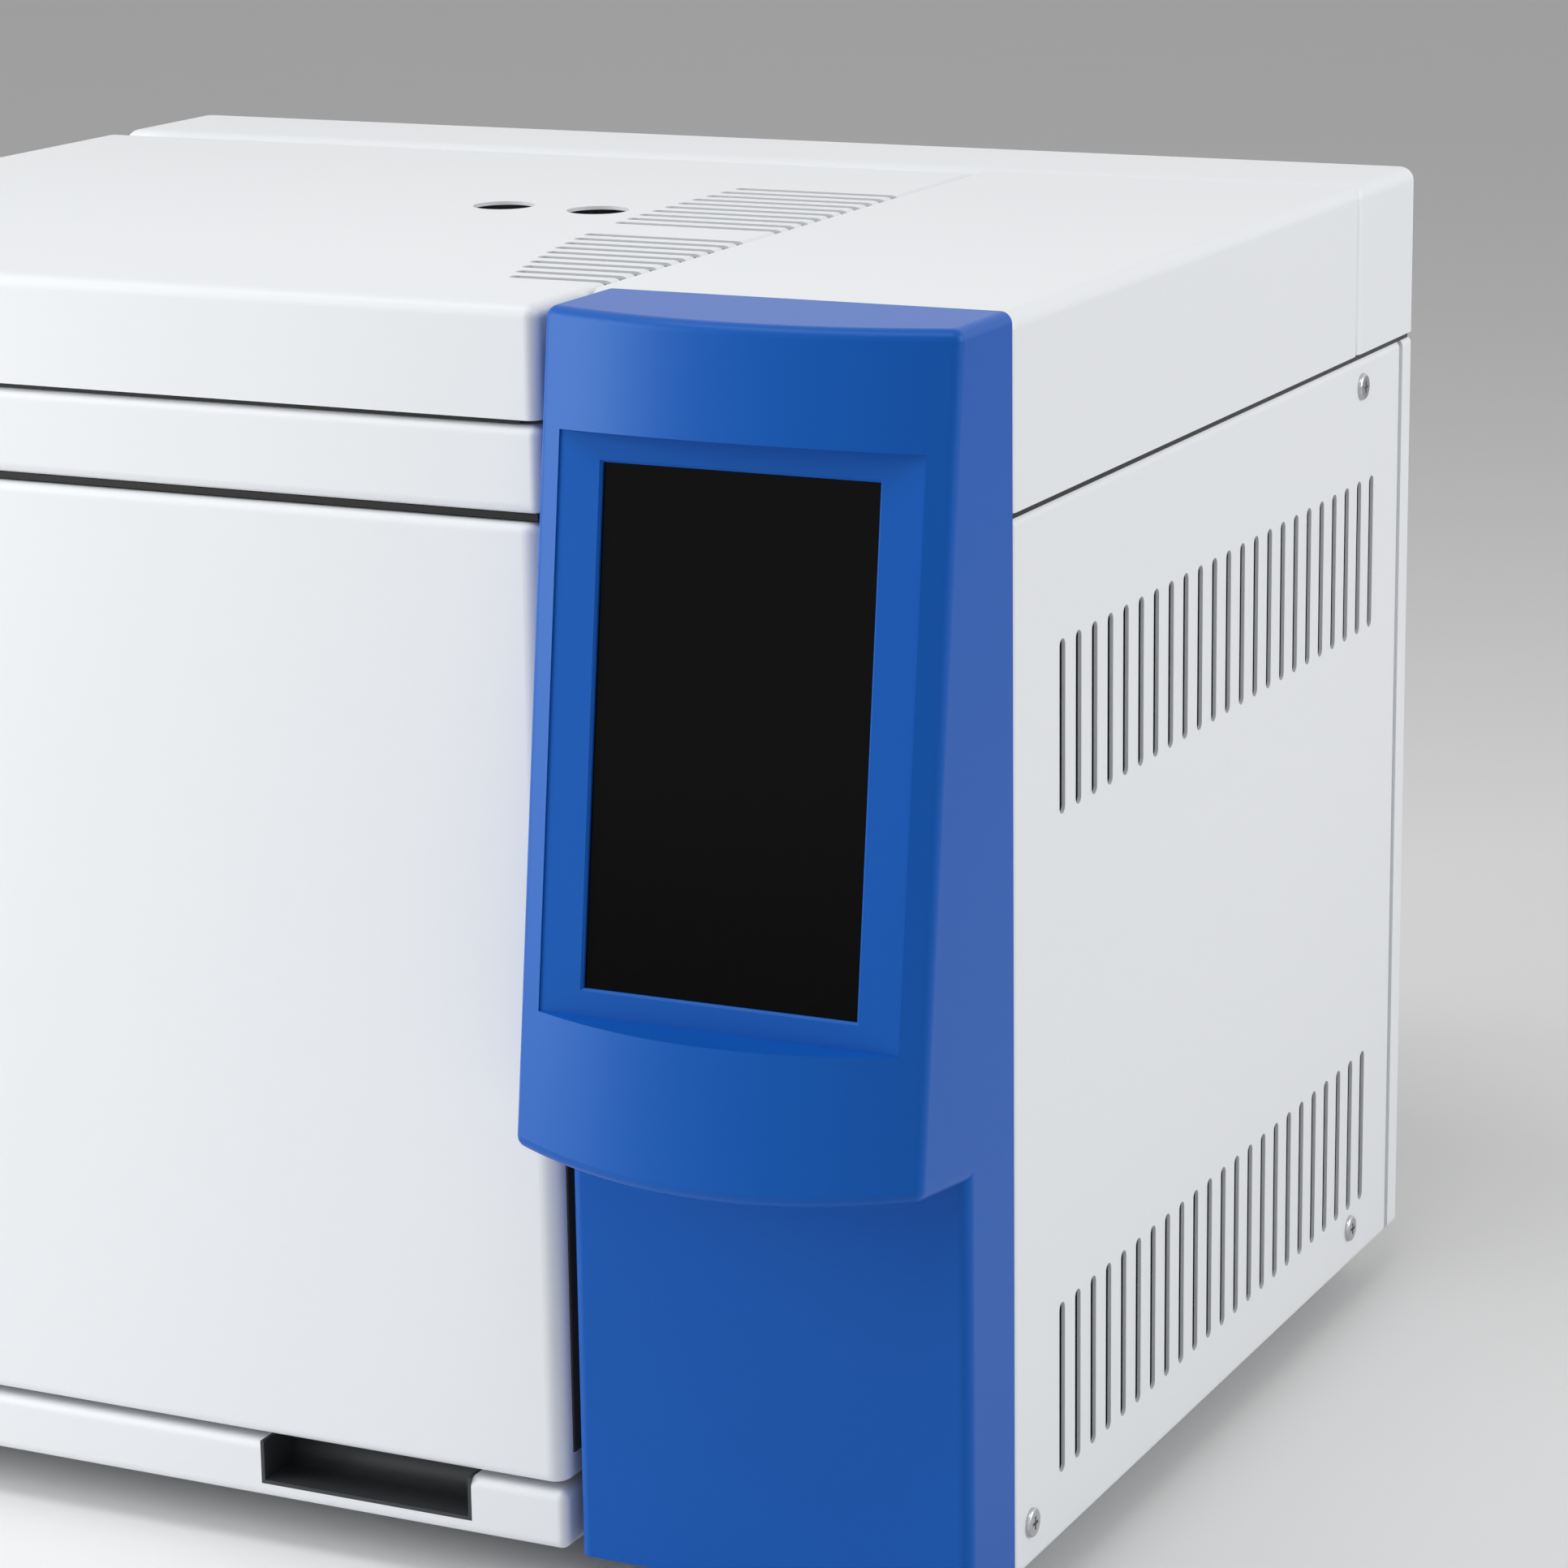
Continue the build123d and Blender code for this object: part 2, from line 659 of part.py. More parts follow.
def door_pins():
    """The two fixed hinge pins: one stands on the plinth, one hangs through the top deck."""
    reach = door_bush_height + sheet
    collar = (z_plinth, z_door_low - soft_gap)
    lower = rod("Z", door_pin_radius, (z_plinth, door_z[0] + reach - 1), door_pin_x, door_pin_y)
    lower += rod("Z", door_pin_radius * 2, collar, door_pin_x, door_pin_y)
    head = (z_deck + sheet, z_deck + sheet + hinge_plate)
    upper = rod("Z", door_pin_radius, (door_z[1] - reach + 1, head[1]), door_pin_x, door_pin_y)
    upper += rod("Z", door_pin_radius * 2, head, door_pin_x, door_pin_y)
    return [lower, upper]


door_inside_x = (door_x[0] + door_pin_inset * 2 + 2, door_x[1] - sheet)
door_inside_z = (door_z[0] + sheet, door_z[1] - sheet)


def door_inner_panel():
    """The steel panel that closes the back of the door, with a pressed rim round the seal."""
    plate = block(door_inside_x, door_panel_y, door_inside_z)
    seat_x = (cavity_x[0] - seal_margin - seal_width - 3, cavity_x[1] + seal_margin + seal_width + 3)
    seat_z = (cavity_z[0] - seal_margin - seal_width - 3, cavity_z[1] + seal_margin + seal_width + 3)
    rim = block(seat_x, (door_panel_y[1], door_panel_y[1] + 3.0), seat_z)
    inner_x = (seat_x[0] + 2, seat_x[1] - 2)
    inner_z = (seat_z[0] + 2, seat_z[1] - 2)
    plate = fillet(plate.edges().filter_by(Axis.Y), lid_radius - sheet)
    return plate + rim - block(inner_x, (door_panel_y[1], door_panel_y[1] + 4.0), inner_z)


def door_insulation():
    """The ceramic-fibre pad between the door's two skins."""
    spans = (door_inside_x, (door_y[0] + sheet, door_panel_y[0]), door_inside_z)
    return rounded_block(spans, "+Y", lid_radius - sheet, door_radius - sheet)


def door_seal():
    """The rope seal that closes on the oven's mouth."""
    outer_x = (cavity_x[0] - seal_margin - seal_width, cavity_x[1] + seal_margin + seal_width)
    outer_z = (cavity_z[0] - seal_margin - seal_width, cavity_z[1] + seal_margin + seal_width)
    depth = (door_panel_y[1], y_face - liner_wall - soft_gap)
    ring = block(outer_x, depth, outer_z)
    ring -= block((outer_x[0] + seal_width, outer_x[1] - seal_width), (depth[0] - 1, depth[1] + 1),
                  (outer_z[0] + seal_width, outer_z[1] - seal_width))
    ring = fillet(ring.edges().filter_by(Axis.Y), seal_width * 0.6)
    nose = ring.faces().sort_by(Axis.Y)[-1]
    return fillet(nose.edges(), seal_width * 0.3)


def door_strikes():
    """Steel plates on the door's back that its magnets hold."""
    plates = []
    for z in magnet_heights:
        reach = (door_panel_y[1], magnet_y[0] - soft_gap)
        plates.append(block(around(magnet_x, magnet_width), reach, around(z, magnet_height)))
    return plates


def door_magnets():
    """Magnetic catches on the oven's front frame, beside the mouth."""
    magnets = []
    for z in magnet_heights:
        magnet = block(around(magnet_x, magnet_width), magnet_y, around(z, magnet_height))
        magnets.append(fillet(magnet.edges().filter_by(Axis.Y), 1.5))
    return magnets


def door_pull():
    """The moulded cup in the plinth that leaves room for fingers under the door's edge."""
    spans = (pull_x, (y_front, y_front + pull_depth), (z_plinth - pull_height, z_plinth))
    cup = block(*spans)
    hollow = ((pull_x[0] + pull_wall, pull_x[1] - pull_wall), (y_front - 1, spans[1][1] - pull_wall),
              (spans[2][0] + pull_wall, z_plinth + 1))
    scoop = block(*hollow)
    low_edges = scoop.edges().filter_by(Axis.X).sort_by(Axis.Z)[:2]
    scoop = fillet(low_edges.sort_by(Axis.Y)[-1], pull_height * 0.5)
    return cup - scoop


# ------------------------------------------------------------------ oven
def grille(radius, thickness, rings, bar):
    """Ring-shaped openings of a finger guard; the cutters leave rings and four spokes."""
    pitch = radius / rings
    cutter = None
    for index in range(rings):
        outer = Circle(pitch * (index + 1) - bar)
        inside = pitch * index
        face = outer - Circle(inside) if index else outer
        cutter = face if cutter is None else cutter + face
    for turn in (0, 90):
        cutter -= Rot(0, 0, turn) * Rectangle(radius * 2, bar * 2)
    return extrude(cutter, thickness)


def place_on_back(shape, x, y, z):
    """Turn a shape drawn on the XY plane so that it stands in the XZ plane, thickness towards +Y."""
    return Pos(x, y, z) * Rot(-90, 0, 0) * shape


liner_x = (cavity_x[0] - liner_wall, cavity_x[1] + liner_wall)
liner_z = (cavity_z[0] - liner_wall, cavity_z[1] + liner_wall)
liner_y = (y_face, cavity_y[1] + liner_wall)
ducts = (exhaust_place, intake_place)
detector_x = detector_place[0]
detector_y = y_face + detector_place[1]
top_ports = [(x, y_injector) for x in injector_places] + [(detector_x, detector_y)]
port_radius = injector_radius + 0.5


def duct_hole(place, grow, y):
    """The block that a vent duct takes out of what it passes through."""
    x, z = place
    return block(around(x, duct_width + grow * 2), y, around(z, duct_height + grow * 2))


def oven_liner():
    """The stainless oven chamber, with a lip at its mouth that the door's seal closes on."""
    chamber = block(liner_x, liner_y, liner_z)
    lip_x = (liner_x[0] - liner_lip, liner_x[1] + liner_lip)
    lip_z = (liner_z[0] - liner_lip, liner_z[1] + liner_lip)
    chamber += block(lip_x, (y_face - liner_wall, y_face), lip_z)
    chamber -= block(cavity_x, (y_face - liner_wall * 2, cavity_y[1]), cavity_z)
    back = (cavity_y[1] - 1, liner_y[1] + 1)
    chamber -= rod("Y", fan_shaft_radius + 2.0, back, oven_x, oven_z)
    for place in ducts:
        chamber -= duct_hole(place, -duct_wall, back)
    for x, y in top_ports:
        chamber -= rod("Z", port_radius, (cavity_z[1] - 1, liner_z[1] + 1), x, y)
    return chamber


insulation_x = (x_left + sheet + insulation_gap, x_wall - insulation_gap)
insulation_z = (cavity_z[0] - insulation_base, z_deck - deck_sheet)
insulation_y = (y_face + frame_sheet, y_insulation)


def oven_insulation():
    """The ceramic-fibre jacket round the chamber, cut for the ports, ducts and fan shaft."""
    jacket = block(insulation_x, insulation_y, insulation_z)
    jacket -= block(liner_x, (y_face, liner_y[1]), liner_z)
    back = (liner_y[1] - 1, insulation_y[1] + 1)
    jacket -= rod("Y", fan_shaft_radius + 4.0, back, oven_x, oven_z)
    for place in ducts:
        jacket -= duct_hole(place, 0, back)
    for x, y in top_ports:
        jacket -= rod("Z", port_radius, (liner_z[1] - 1, insulation_z[1] + 1), x, y)
    return jacket


def oven_front_frame():
    """The steel front frame that holds the chamber's mouth."""
    spans = ((x_left + base_inset, x_lid), (y_face, y_face + frame_sheet), (z_base, z_deck - deck_sheet))
    return block(*spans) - block(liner_x, (y_face - 1, y_face + frame_sheet + 1), liner_z)


def oven_back_plate():
    """The steel plate that closes the jacket and carries the fan motor."""
    plate_y = (insulation_y[1], insulation_y[1] + sheet)
    plate = block(insulation_x, plate_y, insulation_z)
    plate -= rod("Y", fan_shaft_radius + 4.0, (plate_y[0] - 1, plate_y[1] + 1), oven_x, oven_z)
    for place in ducts:
        plate -= duct_hole(place, 0, (plate_y[0] - 1, plate_y[1] + 1))
    return plate


def oven_rails():
    """Two channels that lift the oven off the base pan."""
    rails = []
    for x in (insulation_x[0] + 50, insulation_x[1] - 90):
        spans = ((x, x + 40), (insulation_y[0] + 10, insulation_y[1] - 5), (z_base + sheet, insulation_z[0]))
        hollow = ((x + sheet, x + 40 - sheet), spans[1], (z_base, insulation_z[0] - sheet))
        rails.append(block(*spans) - block(*hollow))
    return rails


def top_deck():
    """The deck over the oven that carries the injectors and the detector."""
    level = (z_deck - deck_sheet, z_deck)
    deck = block((x_left + base_inset, x_lid), (y_face, base_y[1]), level)
    deck += block((x_left + lid_radius, x_lid - lid_radius), (y_front + lid_radius, y_face), level)
    for x, y in top_ports:
        deck -= rod("Z", port_radius, (z_deck - deck_sheet - 1, z_deck + 1), x, y)
    pin_hole = (z_deck - deck_sheet - 1, z_deck + 1)
    return deck - rod("Z", door_pin_radius + running, pin_hole, door_pin_x, door_pin_y)


def bay_frame():
    """The welded frame of the side bay: the wall beside the oven and the plate behind the column."""
    along = (base_y[0] + panel_radius, base_y[1] - panel_radius)
    past_frame = y_face + frame_sheet
    over_pan = (z_base + rail_height, z_deck - deck_sheet)
    wall = block((x_wall, x_lid), along, (z_base + sheet, z_deck - deck_sheet))
    wall += block((x_wall, x_lid), (past_frame, along[0]), over_pan)
    welded_flange = block((x_wall, x_lid + bay_flange), (past_frame, past_frame + sheet), over_pan)
    plate = block((x_lid, x_right - base_inset), (y_face, past_frame), (z_base, z_cover_low))
    plate -= block(bay_window_x, (y_face - 1, past_frame + 1), bay_window_z)
    return wall + welded_flange + plate


def fan_baffle():
    """The plate in front of the oven fan: a ringed inlet in the middle, outlets round the rim."""
    plate_x = (cavity_x[0] + baffle_margin, cavity_x[1] - baffle_margin)
    plate_z = (cavity_z[0] + baffle_margin, cavity_z[1] - baffle_margin)
    baffle = block(plate_x, (y_baffle, y_baffle + sheet), plate_z)
    baffle = fillet(baffle.edges().filter_by(Axis.Y), baffle_margin * 2)
    openings = grille(guard_radius, sheet * 3, guard_rings, 1.6)
    baffle -= place_on_back(openings, oven_x, y_baffle - sheet, oven_z)
    leg_x = cavity_width / 2 - baffle_margin - 8
    leg_z = cavity_height / 2 - baffle_margin - 8
    for x, z in ((leg_x, 0), (-leg_x, 0), (0, leg_z), (0, -leg_z)):
        baffle += rod("Y", 4.0, (y_baffle, cavity_y[1]), oven_x + x, oven_z + z)
    return baffle


fan_y = (cavity_y[1] - 8.0 - fan_depth, cavity_y[1] - 8.0)
motor_y = (insulation_y[1] + sheet, insulation_y[1] + sheet + motor_length)


def fan_impeller():
    """A radial impeller: back plate, hub and backward-curved blades."""
    plate = Cylinder(fan_radius, sheet, align=(Align.CENTER, Align.CENTER, Align.MIN))
    hub = Cylinder(fan_shaft_radius + 6, fan_depth * 0.8, align=(Align.CENTER, Align.CENTER, Align.MIN))
    inner = fan_radius * 0.42
    mid = fan_radius * 0.72
    sweep_mid = radians(9)
    sweep_end = radians(34)
    wheel = plate + hub
    for index in range(fan_blades):
        turn = 2 * pi * index / fan_blades
        outer_arc = blade_arc(inner, mid, fan_radius, turn, sweep_mid, sweep_end)
        shift = radians(1.6)
        inner_arc = blade_arc(inner, mid, fan_radius, turn + shift, sweep_mid, sweep_end)
        ends = [Line(outer_arc @ 0, inner_arc @ 0), Line(outer_arc @ 1, inner_arc @ 1)]
        face = make_face([outer_arc.edge(), inner_arc.edge(), ends[0].edge(), ends[1].edge()])
        wheel += extrude(face, fan_depth)
    wheel -= Cylinder(fan_shaft_radius, fan_depth * 3)
    return Pos(oven_x, fan_y[1], oven_z) * Rot(90, 0, 0) * wheel


def blade_arc(inner, mid, outer, turn, sweep_mid, sweep_end):
    """The curved line of one face of a fan blade, seen along the shaft."""
    points = []
    for radius, sweep in ((inner, 0), (mid, sweep_mid), (outer - 1, sweep_end)):
        points.append((radius * cos(turn + sweep), radius * sin(turn + sweep)))
    return ThreePointArc(*points)


def fan_shaft():
    """The shaft from the impeller through the jacket and the motor."""
    return rod("Y", fan_shaft_radius, (fan_y[0] + 2, motor_y[1] - 6), oven_x, oven_z)


def oven_motor():
    """The fan motor: a finned can with four feet on the back plate."""
    can = rod("Y", motor_radius * 0.82, (motor_y[0] + 10, motor_y[1]), oven_x, oven_z)
    can = fillet(can.faces().sort_by(Axis.Y)[-1].edges(), 6.0)
    can += rod("Y", motor_radius, (motor_y[0] + 22, motor_y[0] + 40), oven_x, oven_z)
    for x, z in ((1, 1), (1, -1), (-1, 1), (-1, -1)):
        reach = motor_radius * 0.62
        can += rod("Y", 5.0, (motor_y[0], motor_y[0] + 24), oven_x + x * reach, oven_z + z * reach)
    return can - rod("Y", fan_shaft_radius + running, (motor_y[0] - 1, motor_y[1] - 5), oven_x, oven_z)


heater_y = cavity_y[1] - baffle_stand / 2


def oven_heater():
    """The sheathed ring heater round the fan, with six welded feet on the back wall."""
    section = Pos(heater_radius, 0) * Circle(heater_tube_radius)
    rings = half_rings(section, (oven_x, heater_y, oven_z))
    heel = []
    for index in range(6):
        turn = 2 * pi * (index + 0.5) / 6
        x = oven_x + heater_radius * cos(turn)
        z = oven_z + heater_radius * sin(turn)
        heel.append(rod("Y", heater_foot_radius, (heater_y - 2.0, cavity_y[1]), x, z))
    return rings[0] + [rings[1], *heel]


# ------------------------------------------------------------------ capillary column
coil_x = oven_x
coil_y = y_face + coil_row
coil_z = cavity_z[1] - coil_below_top
coil_pitch = coil_band / coil_turns
hoop_radius = coil_radius - coil_turn_radius * 2
hoop_wire = 1.5
cage_bars = 8
hoop_y = (coil_y - coil_band / 2 - 3.0, coil_y + coil_band / 2 + 3.0)


def capillary_coil():
    """The wound capillary: turns lying side by side."""
    turns = None
    radius = max(coil_turn_radius, coil_pitch * 0.55)
    for index in range(coil_turns):
        along = (index - (coil_turns - 1) / 2) * coil_pitch
        turn = Pos(coil_radius, along) * Circle(radius)
        turns = turn if turns is None else turns + turn
    rings = half_rings(turns, (coil_x, coil_y, coil_z))
    return rings[0] + rings[1]


def coil_cage():
    """The wire cage that carries the coil: two hoops joined by cross bars."""
    wires = []
    for y in hoop_y:
        section = Pos(hoop_radius - hoop_wire * 1.5, 0) * Circle(hoop_wire)
        wires += half_rings(section, (coil_x, y, coil_z))
    reach = hoop_radius - hoop_wire * 0.9
    bar_y = (hoop_y[0] - 1.0, hoop_y[1] + 1.0)
    for index in range(cage_bars):
        turn = 2 * pi * (index + 0.5) / cage_bars
        place = (coil_x + reach * cos(turn), coil_z + reach * sin(turn))
        wires.append(rod("Y", hoop_wire * 0.8, bar_y, *place))
    return wires[0] + wires[1:]


def coil_hanger():
    """A folded strap from the oven's roof; the cage's hoops hang in its hooks."""
    hoop_top = coil_z + hoop_radius - hoop_wire * 1.5
    hook = hoop_top - hoop_wire
    wide = 14.0
    hanger = block(around(coil_x, wide), (hoop_y[0] - 8, hoop_y[1] + 8), (cavity_z[1] - 1.2, cavity_z[1]))
    for sign, y in ((-1, hoop_y[0]), (1, hoop_y[1])):
        face = y + sign * (hoop_wire + 0.3)
        leg_y = sorted((face, face + sign * 1.5))
        hanger += block(around(coil_x, wide), leg_y, (hook - 4.0, cavity_z[1]))
        lip_y = sorted((face, face - sign * hoop_wire * 2.6))
        hanger += block(around(coil_x, wide / 2), lip_y, (hook - 3.0, hook - 0.6))
    return hanger


def capillary_end(side, port, y_leave, reach):
    """One end of the capillary: straight up off its turn of the coil, then over to its port."""
    start = Vector(coil_x + side * coil_radius, y_leave, coil_z)
    end = Vector(port[0], port[1], reach)
    turn_z = start.Z + (end.Z - start.Z) * 0.42
    low_turn = Vector(start.X, start.Y, turn_z)
    high_turn = Vector(end.X, end.Y, end.Z - (end.Z - start.Z) * 0.30)
    path = FilletPolyline(start, low_turn, high_turn, end, radius=12.0)
    section = Plane(origin=path @ 0, z_dir=path % 0) * Circle(tube_radius)
    return sweep(section, path=path)


injector_low = cavity_z[1] - injector_below
detector_low = cavity_z[1] - injector_below


def capillary():
    """The wound capillary with its two free ends, into an injector and the detector."""
    lean_in = coil_band / 2 - coil_pitch / 2
    nut_low = injector_low - 10.0
    first = capillary_end(1, (injector_places[0], y_injector), coil_y + lean_in, nut_low)
    last = capillary_end(-1, (detector_x, detector_y), coil_y - lean_in, nut_low)
    return capillary_coil() + first + last


def column_nuts():
    """The small nuts that hold the capillary in its ports."""
    nuts = []
    for x, y in (top_ports[0], top_ports[-1]):
        outline = RegularPolygon(4.6, 6)
        nut = Pos(x, y, injector_low - 10.0) * extrude(outline, 7.0)
        nut += rod("Z", 2.4, (injector_low - 3.0, injector_low), x, y)
        nut -= rod("Z", tube_radius + 0.2, (injector_low - 11, injector_low + 1), x, y)
        nuts.append(nut)
    return nuts


# ------------------------------------------------------------------ injectors and detector
septum_top = z_lid - sheet - septum_below_lid
septum_low = septum_top - septum_height
block_top = z_deck + injector_block_height
detector_levels = (z_deck + 24.0, z_deck + 44.0, z_deck + 50.0)    # tops of its block, tower and neck


def injectors():
    """Two injectors: a tube into the oven, a heated block on the deck and a neck above it."""
    pieces = []
    for x in injector_places:
        body = rod("Z", injector_radius, (injector_low, septum_low), x, y_injector)
        heated = block(around(x, injector_block), around(y_injector, injector_block), (z_deck, block_top))
        heated = fillet(heated.edges().filter_by(Axis.Z), 3.0)
        pieces.append(body + heated)
    return pieces


def septum_nuts():
    """Fluted septum nuts with a needle guide, under the holes in the lid."""
    nuts = []
    for x in injector_places:
        nut = rod("Z", septum_radius, (septum_low, septum_top), x, y_injector)
        nut = chamfer(nut.faces().sort_by(Axis.Z)[-1].edges(), 1.5)
        for index in range(16):
            turn = 2 * pi * index / 16
            flute = rod("Z", 0.9, (septum_low + 3, septum_top + 1), x + septum_radius * cos(turn),
                        y_injector + septum_radius * sin(turn))
            nut -= flute
        guide = Pos(x, y_injector, septum_top) * Cone(1.0, 4.0, 4.0, align=downwards)
        nuts.append(nut - guide)
    return nuts


def detector():
    """The detector: a heated block on the deck, a stepped tower and a jet tube into the oven."""
    body = rod("Z", injector_radius, (detector_low, z_deck), detector_x, detector_y)
    sides = (around(detector_x, detector_block), around(detector_y, detector_block))
    heated = block(*sides, (z_deck, detector_levels[0]))
    heated = fillet(heated.edges().filter_by(Axis.Z), 4.0)
    tower = rod("Z", detector_radius, detector_levels[:2], detector_x, detector_y)
    neck = rod("Z", detector_radius * 0.7, detector_levels[1:3], detector_x, detector_y)
    return body + heated + tower + neck


def detector_cap():
    """The collector cap with its vent chimney and signal connector."""
    seat = detector_levels[2]
    cap = rod("Z", detector_radius * 1.1, (seat, seat + 10.0), detector_x, detector_y)
    cap = fillet(cap.edges(), 1.2)
    cap += rod("Z", 5.0, (seat + 9.0, seat + 18.0), detector_x, detector_y)
    cap -= rod("Z", 3.0, (seat + 2.0, seat + 19.0), detector_x, detector_y)
    arm = (detector_y + detector_radius, detector_y + detector_radius + 12.0)
    cap += rod("Y", 3.5, arm, detector_x, seat + 5.0)
    return cap


# ------------------------------------------------------------------ rear panel and services
rear_y = (y_back - rear_flange, y_back)
rear_skin = (y_back - sheet, y_back)
through_rear = (y_back - sheet * 2, y_back + sheet)
bay_fan_y = (y_back - sheet - bay_fan_depth, y_back - sheet)
fan_bore = bay_fan_size / 2 - 3.0
power_width = 30.0
power_height = 66.0
power_depth = 26.0
power_x, power_z = power_place
gas_spots = [(gas_inlet_place[0] + (index - (gas_inlet_count - 1) / 2) * gas_inlet_pitch, gas_inlet_place[1])
             for index in range(gas_inlet_count)]
bulkhead_radius = 4.5


def rear_panel():
    """The rear panel: a flanged tray, cut for the vents, fan, power inlet and gas inlets."""
    panel = tray(((x_left, x_right), rear_y, panel_z), sheet, "-Y", panel_radius)
    for place in ducts:
        panel -= duct_hole(place, -duct_wall, through_rear)
    fan_x, fan_z = bay_fan_place
    openings = grille(fan_bore, sheet * 3, 5, 1.2)
    panel -= place_on_back(openings, fan_x, y_back - sheet * 2, fan_z)
    panel -= block(around(power_x, power_width), through_rear, around(power_z, power_height))
    for x, z in gas_spots:
        panel -= rod("Y", bulkhead_radius + running * 2, through_rear, x, z)
    return panel


def vent_ducts():
    """The sheet ducts from the oven's back to the rear panel, with holes for the flaps' pins."""
    pieces = []
    for x, z in ducts:
        along = (liner_y[1], y_back - sheet)
        tube = block(around(x, duct_width), along, around(z, duct_height))
        bore = block(around(x, duct_width - duct_wall * 2), (along[0] - 1, along[1] + 1),
                     around(z, duct_height - duct_wall * 2))
        pin_bore = flap_pin_radius + running
        pin = rod("X", pin_bore, around(x, duct_width + 2), y_back - flap_inset, flap_pin_z(z))
        pieces.append(tube - bore - pin)
    return pieces


def flap_pin_z(z):
    """Height of a flap's pin, close under the roof of its duct."""
    return z + duct_height / 2 - duct_wall - flap_pin_radius - 1.0


def vent_flap(place):
    """A vent flap on its pin; it hangs shut and swings out at the rear."""
    x, z = place
    y = y_back - flap_inset
    width = duct_width - duct_wall * 2 - 2.0
    pin_z = flap_pin_z(z)
    low = z - duct_height / 2 + duct_wall + 1.0
    flap = block(around(x, width), (y - flap_sheet / 2, y + flap_sheet / 2), (low, pin_z))
    lip = block(around(x, width), (y - flap_sheet / 2, y + 4.0), (low, low + flap_sheet))
    return flap + lip + rod("X", flap_pin_radius, around(x, duct_width), y, pin_z)


def exhaust_flap():
    """The flap that lets hot air out of the oven."""
    return vent_flap(exhaust_place)


def intake_flap():
    """The flap that lets cool air into the oven."""
    return vent_flap(intake_place)


def bay_fan_frame():
    """The square frame of the bay's cooling fan, with four arms that carry its shaft."""
    x, z = bay_fan_place
    frame = block(around(x, bay_fan_size), bay_fan_y, around(z, bay_fan_size))
    frame = fillet(frame.edges().filter_by(Axis.Y), 4.0)
    frame -= rod("Y", fan_bore, (bay_fan_y[0] - 1, bay_fan_y[1] + 1), x, z)
    arm_y = (bay_fan_y[0], bay_fan_y[0] + 3.0)
    cross = block(around(x, bay_fan_size - 6), arm_y, around(z, 5.0))
    cross += block(around(x, 5.0), arm_y, around(z, bay_fan_size - 6))
    frame += cross + rod("Y", 16.0, arm_y, x, z)
    frame += rod("Y", 3.0, (bay_fan_y[0], bay_fan_y[1] - 6.0), x, z)
    reach = bay_fan_size / 2 - 5.0
    for across, up in ((1, 1), (1, -1), (-1, 1), (-1, -1)):
        frame -= rod("Y", 2.1, (bay_fan_y[0] - 1, bay_fan_y[1] + 1), x + across * reach, z + up * reach)
    return frame


def bay_fan_rotor():
    """The bay fan's rotor: a cupped hub and pitched blades."""
    x, z = bay_fan_place
    depth = bay_fan_depth - 10.0
    hub_radius = 17.0
    rotor = Cylinder(hub_radius, depth)
    for index in range(bay_fan_blades):
        reach = fan_bore - 1.5
        blade = Rot(blade_pitch, 0, 0) * Box(reach - hub_radius + 2, 1.6, depth * 1.1)
        blade = Pos((hub_radius + reach) / 2 - 1, 0, 0) * blade
        rotor += Rot(0, 0, 360 * index / bay_fan_blades) * blade
    rotor -= Cylinder(3.0 + running, depth * 2)
    return Pos(x, bay_fan_y[0] + 4.5 + depth / 2, z) * Rot(90, 0, 0) * rotor


inlet_z = (power_z - power_height / 2 + 3.0, power_z - power_height / 2 + 27.0)
switch_z = (power_z + power_height / 2 - 28.0, power_z + power_height / 2 - 6.0)
switch_width = 16.0
rocker_gap = 0.5
rocker_radius = 1.5
rocker_y = y_back - 5.0
rocker_mid = (switch_z[0] + switch_z[1]) / 2
rocker_tilt = 9.0            # degrees to each side of level
rocker_valley = 5.0          # outer faces from the pin, in the middle and at the tips
rocker_tip = 7.5
rocker_root = 6.0


def power_inlet():
    """The moulded mains inlet: a shrouded three-pin socket under a window for the switch."""
    outer = (y_back - sheet, y_back + 2.0)
    snug = 0.4
    body = block(around(power_x, power_width - snug), (y_back - power_depth, y_back),
                 around(power_z, power_height - snug))
    flange = block(around(power_x, power_width + 6), (y_back, outer[1]), around(power_z, power_height + 6))
    flange = fillet(flange.edges().filter_by(Axis.Y), 3.0)
    body += flange
    socket = block(around(power_x, 24.0), (y_back - 14.0, outer[1] + 1), (inlet_z[0] + 3, inlet_z[1] - 3))
    socket = chamfer(socket.edges().filter_by(Axis.Y).sort_by(Axis.Z)[-2:], 4.0)
    body -= socket
    body -= block(around(power_x, switch_width), (y_back - 18.0, outer[1] + 1), switch_z)
    pin = rod("X", rocker_radius + running, around(power_x, switch_width + 6), rocker_y, rocker_mid)
    body -= pin
    for across, up in ((-7.0, -1.5), (7.0, -1.5), (0.0, 2.5)):
        z = (inlet_z[0] + inlet_z[1]) / 2 + up
        body += block(around(power_x + across, 2.0), (y_back - 16.0, y_back - 3.0), around(z, 4.0))
    return body


